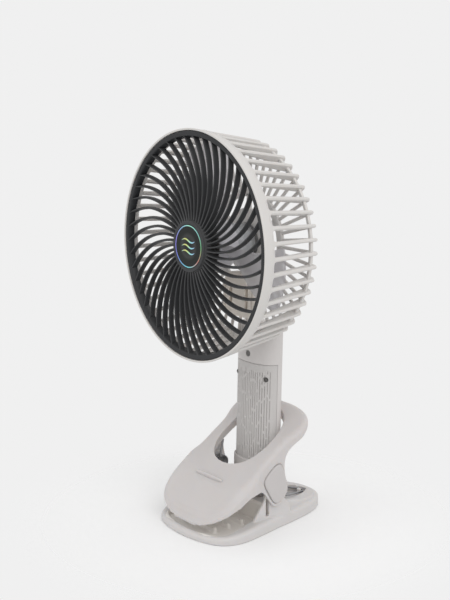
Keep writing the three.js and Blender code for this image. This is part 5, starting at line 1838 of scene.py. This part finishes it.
        def lip(at: Vector) -> bool:
            """Whether a point lies by the lower edge of the nose."""
            return at.y < self.lip_from and abs(at.z - np.interp(at.y, edge_y, edge_z)) < self.lip_near

        feather(obj, lip, self.lip_rounds)
        finished(obj, BodyName.LEVER, JAW, ["upper_jaw"], 60)

        def under_side(at: Vector, way: Vector) -> bool:
            """Whether a face lies inside the lever's walls.

            Args:
                at: The face's middle in millimetres.
                way: Its normal.

            Returns:
                True for an inner face away from the lip.
            """
            if lip(at) or abs(at.x) > self.half(at.y) - 1.9:
                return False
            return way.z < -0.1 or (way.x * at.x < -0.3 * abs(at.x) and at.y < -25)

        # Painted light: the lever's inner faces get a lighter, warmer colour than its outside, standing in
        # for light bounced under the lever.
        paint_light_inside(obj, JAW_INSIDE_PAINTED_LIGHT, under_side)
        return obj

    def ridge(self) -> bpy.types.Object:
        """Makes the raised bar that a finger finds on the lever.

        Returns:
            The bar, which leans with the lever's top.
        """
        height = float(self.top(np.array([self.ridge_y]))[0])
        rings = []
        a = angles(24)
        for share in np.linspace(-1, 1, 41):
            end = max(0.04, 1 - abs(share) ** 8) ** 0.5
            rise = self.ridge_high * end * np.sin(a)
            y = self.ridge_y + self.ridge_wide * end * np.cos(a) - 0.45 * rise
            rings.append(np.c_[np.full(len(a), share * self.ridge_half), y, height - 0.3 + rise])
        obj = Shape().loft(rings).build("finger_ridge")
        return finished(obj, BodyName.LEVER, JAW, ["upper_jaw"], 50)

    def caps(self) -> list[bpy.types.Object]:
        """Makes the two lens-shaped hinge caps with rounded rims.

        Returns:
            The left cap and the right one.
        """
        made = []
        outside = self.cheek + 1.2
        rim = ((2.1, 0), (1.0, 0), (0.65, 0.08), (0.3, 0.35), (0.08, 0.8), (0, 1.5))
        for side, name in ((-1, "left"), (1, "right")):
            rings = []
            for deep, shrink in rim:
                flat = self.cap_outline(-shrink)
                rings.append(np.c_[np.full(len(flat), side * (outside - deep)), flat])
            cap = Shape().loft(rings).build("hinge_cover_" + name)
            made.append(finished(cap, BodyName.LEVER, CAP, ["hinge_cap_" + name], 50))
        return made

    def make(self) -> list[bpy.types.Object]:
        """Makes the clamp's pieces."""
        return [self.foot(), self.lever(), self.ridge(), *self.caps()]


@dataclass
class Spring:
    """Double torsion spring: coils and joined legs on the foot, arms under the lever."""

    wire: float = 0.8
    coil: float = 4.2
    turns: float = 3.14
    pitch: float = 2.45
    start: float = 23.9
    hinge: Pair = (-3.0, 38.0)
    steps: int = 132
    sides: int = 16

    ARM = ((26.8, -1.7, 55.6), (25.6, -4.1, 49.6), (24.3, -6.6, 43.4))
    LEG = ((31.4, 3.4, 28.3), (27.0, 16.0, 20.6), (23.0, 25.0, 17.6), (6.4, 51.5, 9.2), (3.2, 57.8, 7.6))
    APEX = (0.0, 59.2, 7.2)

    def turned(self) -> list[Triple]:
        """Points of the right coil.

        Returns:
            The points, from its inner end.
        """
        out = []
        y, z = self.hinge
        for i in range(self.steps + 1):
            share = i / self.steps
            angle = math.pi + share * self.turns * 2 * math.pi
            x = self.start + share * self.turns * self.pitch
            out.append((x, y + self.coil * math.cos(angle), z + self.coil * math.sin(angle)))
        return out

    def make(self) -> list[bpy.types.Object]:
        """Makes the coils with their legs in one wire, and the two arms.

        Returns:
            The wire and the arms.
        """
        coil = self.turned()
        corner = [coil[-1], *self.LEG, self.APEX]
        right = coil[:-1] + list(map(tuple, flowing(corner, 14)))
        left = [(-x, y, z) for x, y, z in reversed(right[:-1])]
        wire = Shape().tube(np.array(right + left), self.wire, self.sides).build("spring_legs")
        finished(wire, BodyName.FOOT, SPRING, ["clip_spring"], 60)
        arms = Shape()
        for side in (-1, 1):
            path = flowing(list(self.ARM) + coil[:3], 10)
            arms.tube(path[:-8] * np.array((side, 1, 1)), self.wire, self.sides)
        arm = arms.build("spring_arms")
        finished(arm, BodyName.LEVER, SPRING, ["clip_spring"], 60)
        return [wire, arm]


class Dressing:
    """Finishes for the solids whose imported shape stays."""

    @staticmethod
    def make() -> None:
        """Gives each solid its finish."""
        for name, finish in DRESSED.items():
            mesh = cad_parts[name].data
            mesh.materials.clear()
            mesh.materials.append(finish.material())


@dataclass
class Studio:
    """Floor, soft light and the camera at the photograph's angle."""

    pale: Triple = (240, 240, 240)
    floor_tints: tuple[Triple, Triple] = ((247, 247, 247), (249, 249, 249))
    ambient: float = 0.8
    lamp_size: float = 1.0
    sensor: float = 36.0
    lens: float = 74.16
    eye: Triple = (0.70793, -0.58322, 0.35894)
    gaze: Triple = (78.48, 0.0, 51.55)

    # Name, place in metres and power.
    LAMPS = (("key_light", (1.15, -0.35, 1.25), 7.6), ("fill_light", (-0.5, -1.2, 0.8), 1.6))
    MIDDLE = (0, -0.02, 0.13)
    FLOOR_RADII = (1, 200, 500, 900, 1400)

    def floor(self) -> bpy.types.Object:
        """Makes the floor, which fades out into the background.

        Returns:
            The floor.
        """
        shape = Shape()
        a = angles(96)
        rings = [np.c_[r * np.cos(a), r * np.sin(a), np.full(len(a), -0.02)] for r in self.FLOOR_RADII]
        shape.loft(rings, capped=False)
        shape.faces.append(tuple(range(len(a))))
        obj = shape.build("studio_floor")
        mat, graph, shader = Graph.material("studio_floor")
        graph.fill(shader, {"Roughness": 0.9, "Specular IOR Level": 0.1})
        place = graph.node("TexCoord").outputs["Object"]
        noise = graph.node("TexNoise", {"Scale": 300.0})
        graph.link(place, noise.inputs["Vector"])
        low, high = (linear(tint) for tint in self.floor_tints)
        graph.link(graph.mix(noise.outputs["Fac"], low, high), shader.inputs["Base Color"])
        length = graph.node("VectorMath")
        length.operation = "LENGTH"
        graph.link(place, length.inputs[0])
        fade = graph.node("MapRange", {"From Min": 0.075, "From Max": 0.2, "To Min": 1.0, "To Max": 0.0})
        fade.interpolation_type = "SMOOTHSTEP"
        graph.link(length.outputs["Value"], fade.inputs["Value"])
        graph.link(fade.outputs["Result"], shader.inputs["Alpha"])
        obj.data.materials.append(mat)
        return obj

    def world(self) -> None:
        """Sets the background that the camera sees and the light that comes from all round."""
        world = bpy.data.worlds.new("studio")
        bpy.context.scene.world = world
        world.use_nodes = True
        world.node_tree.nodes.clear()
        graph = Graph(world.node_tree)
        seen = graph.node("Background", {"Color": linear(self.pale)})
        lit = graph.node("Background", {"Color": (1.0, 1.0, 1.0, 1.0), "Strength": self.ambient})
        mix = graph.node("MixShader")
        camera_ray = graph.node("LightPath").outputs["Is Camera Ray"]
        for socket, source in zip(mix.inputs, (camera_ray, lit.outputs[0], seen.outputs[0])):
            graph.link(source, socket)
        graph.link(mix.outputs[0], graph.node("OutputWorld").inputs["Surface"])

    def lamp(self, name: str, place: Triple, power: float) -> None:
        """Adds a soft square light that faces the middle of the object.

        Args:
            name: Its name.
            place: Where it hangs, in metres.
            power: Its power in watts.
        """
        light = bpy.data.lights.new(name, "AREA")
        light.size = self.lamp_size
        light.energy = power
        obj = bpy.data.objects.new(name, light)
        bpy.context.scene.collection.objects.link(obj)
        obj.location = place
        way = Vector(self.MIDDLE) - Vector(place)
        obj.rotation_euler = way.to_track_quat("-Z", "Y").to_euler()

    def camera(self) -> None:
        """Adds the camera, whose place and angles were fitted to the photograph's perspective."""
        data = bpy.data.cameras.new("camera")
        data.sensor_width = self.sensor
        data.lens = self.lens
        obj = bpy.data.objects.new("camera", data)
        bpy.context.scene.collection.objects.link(obj)
        obj.location = self.eye
        obj.rotation_euler = [math.radians(v) for v in self.gaze]
        bpy.context.scene.camera = obj

    def make(self) -> None:
        """Builds the studio."""
        self.floor()
        self.world()
        for name, place, power in self.LAMPS:
            self.lamp(name, place, power)
        self.camera()
        bpy.context.scene.view_settings.view_transform = "Standard"


def main() -> None:
    """Builds every piece, the dressing and the studio."""
    logging.basicConfig(level=logging.INFO, format="%(message)s")
    for assembly in (Guard, Badge, Cage, Impeller, Motor, Handle, Clamp, Spring, Dressing, Studio):
        LOG.info("Building %s", assembly.__name__)
        assembly().make()


if __name__ == "__main__":
    main()
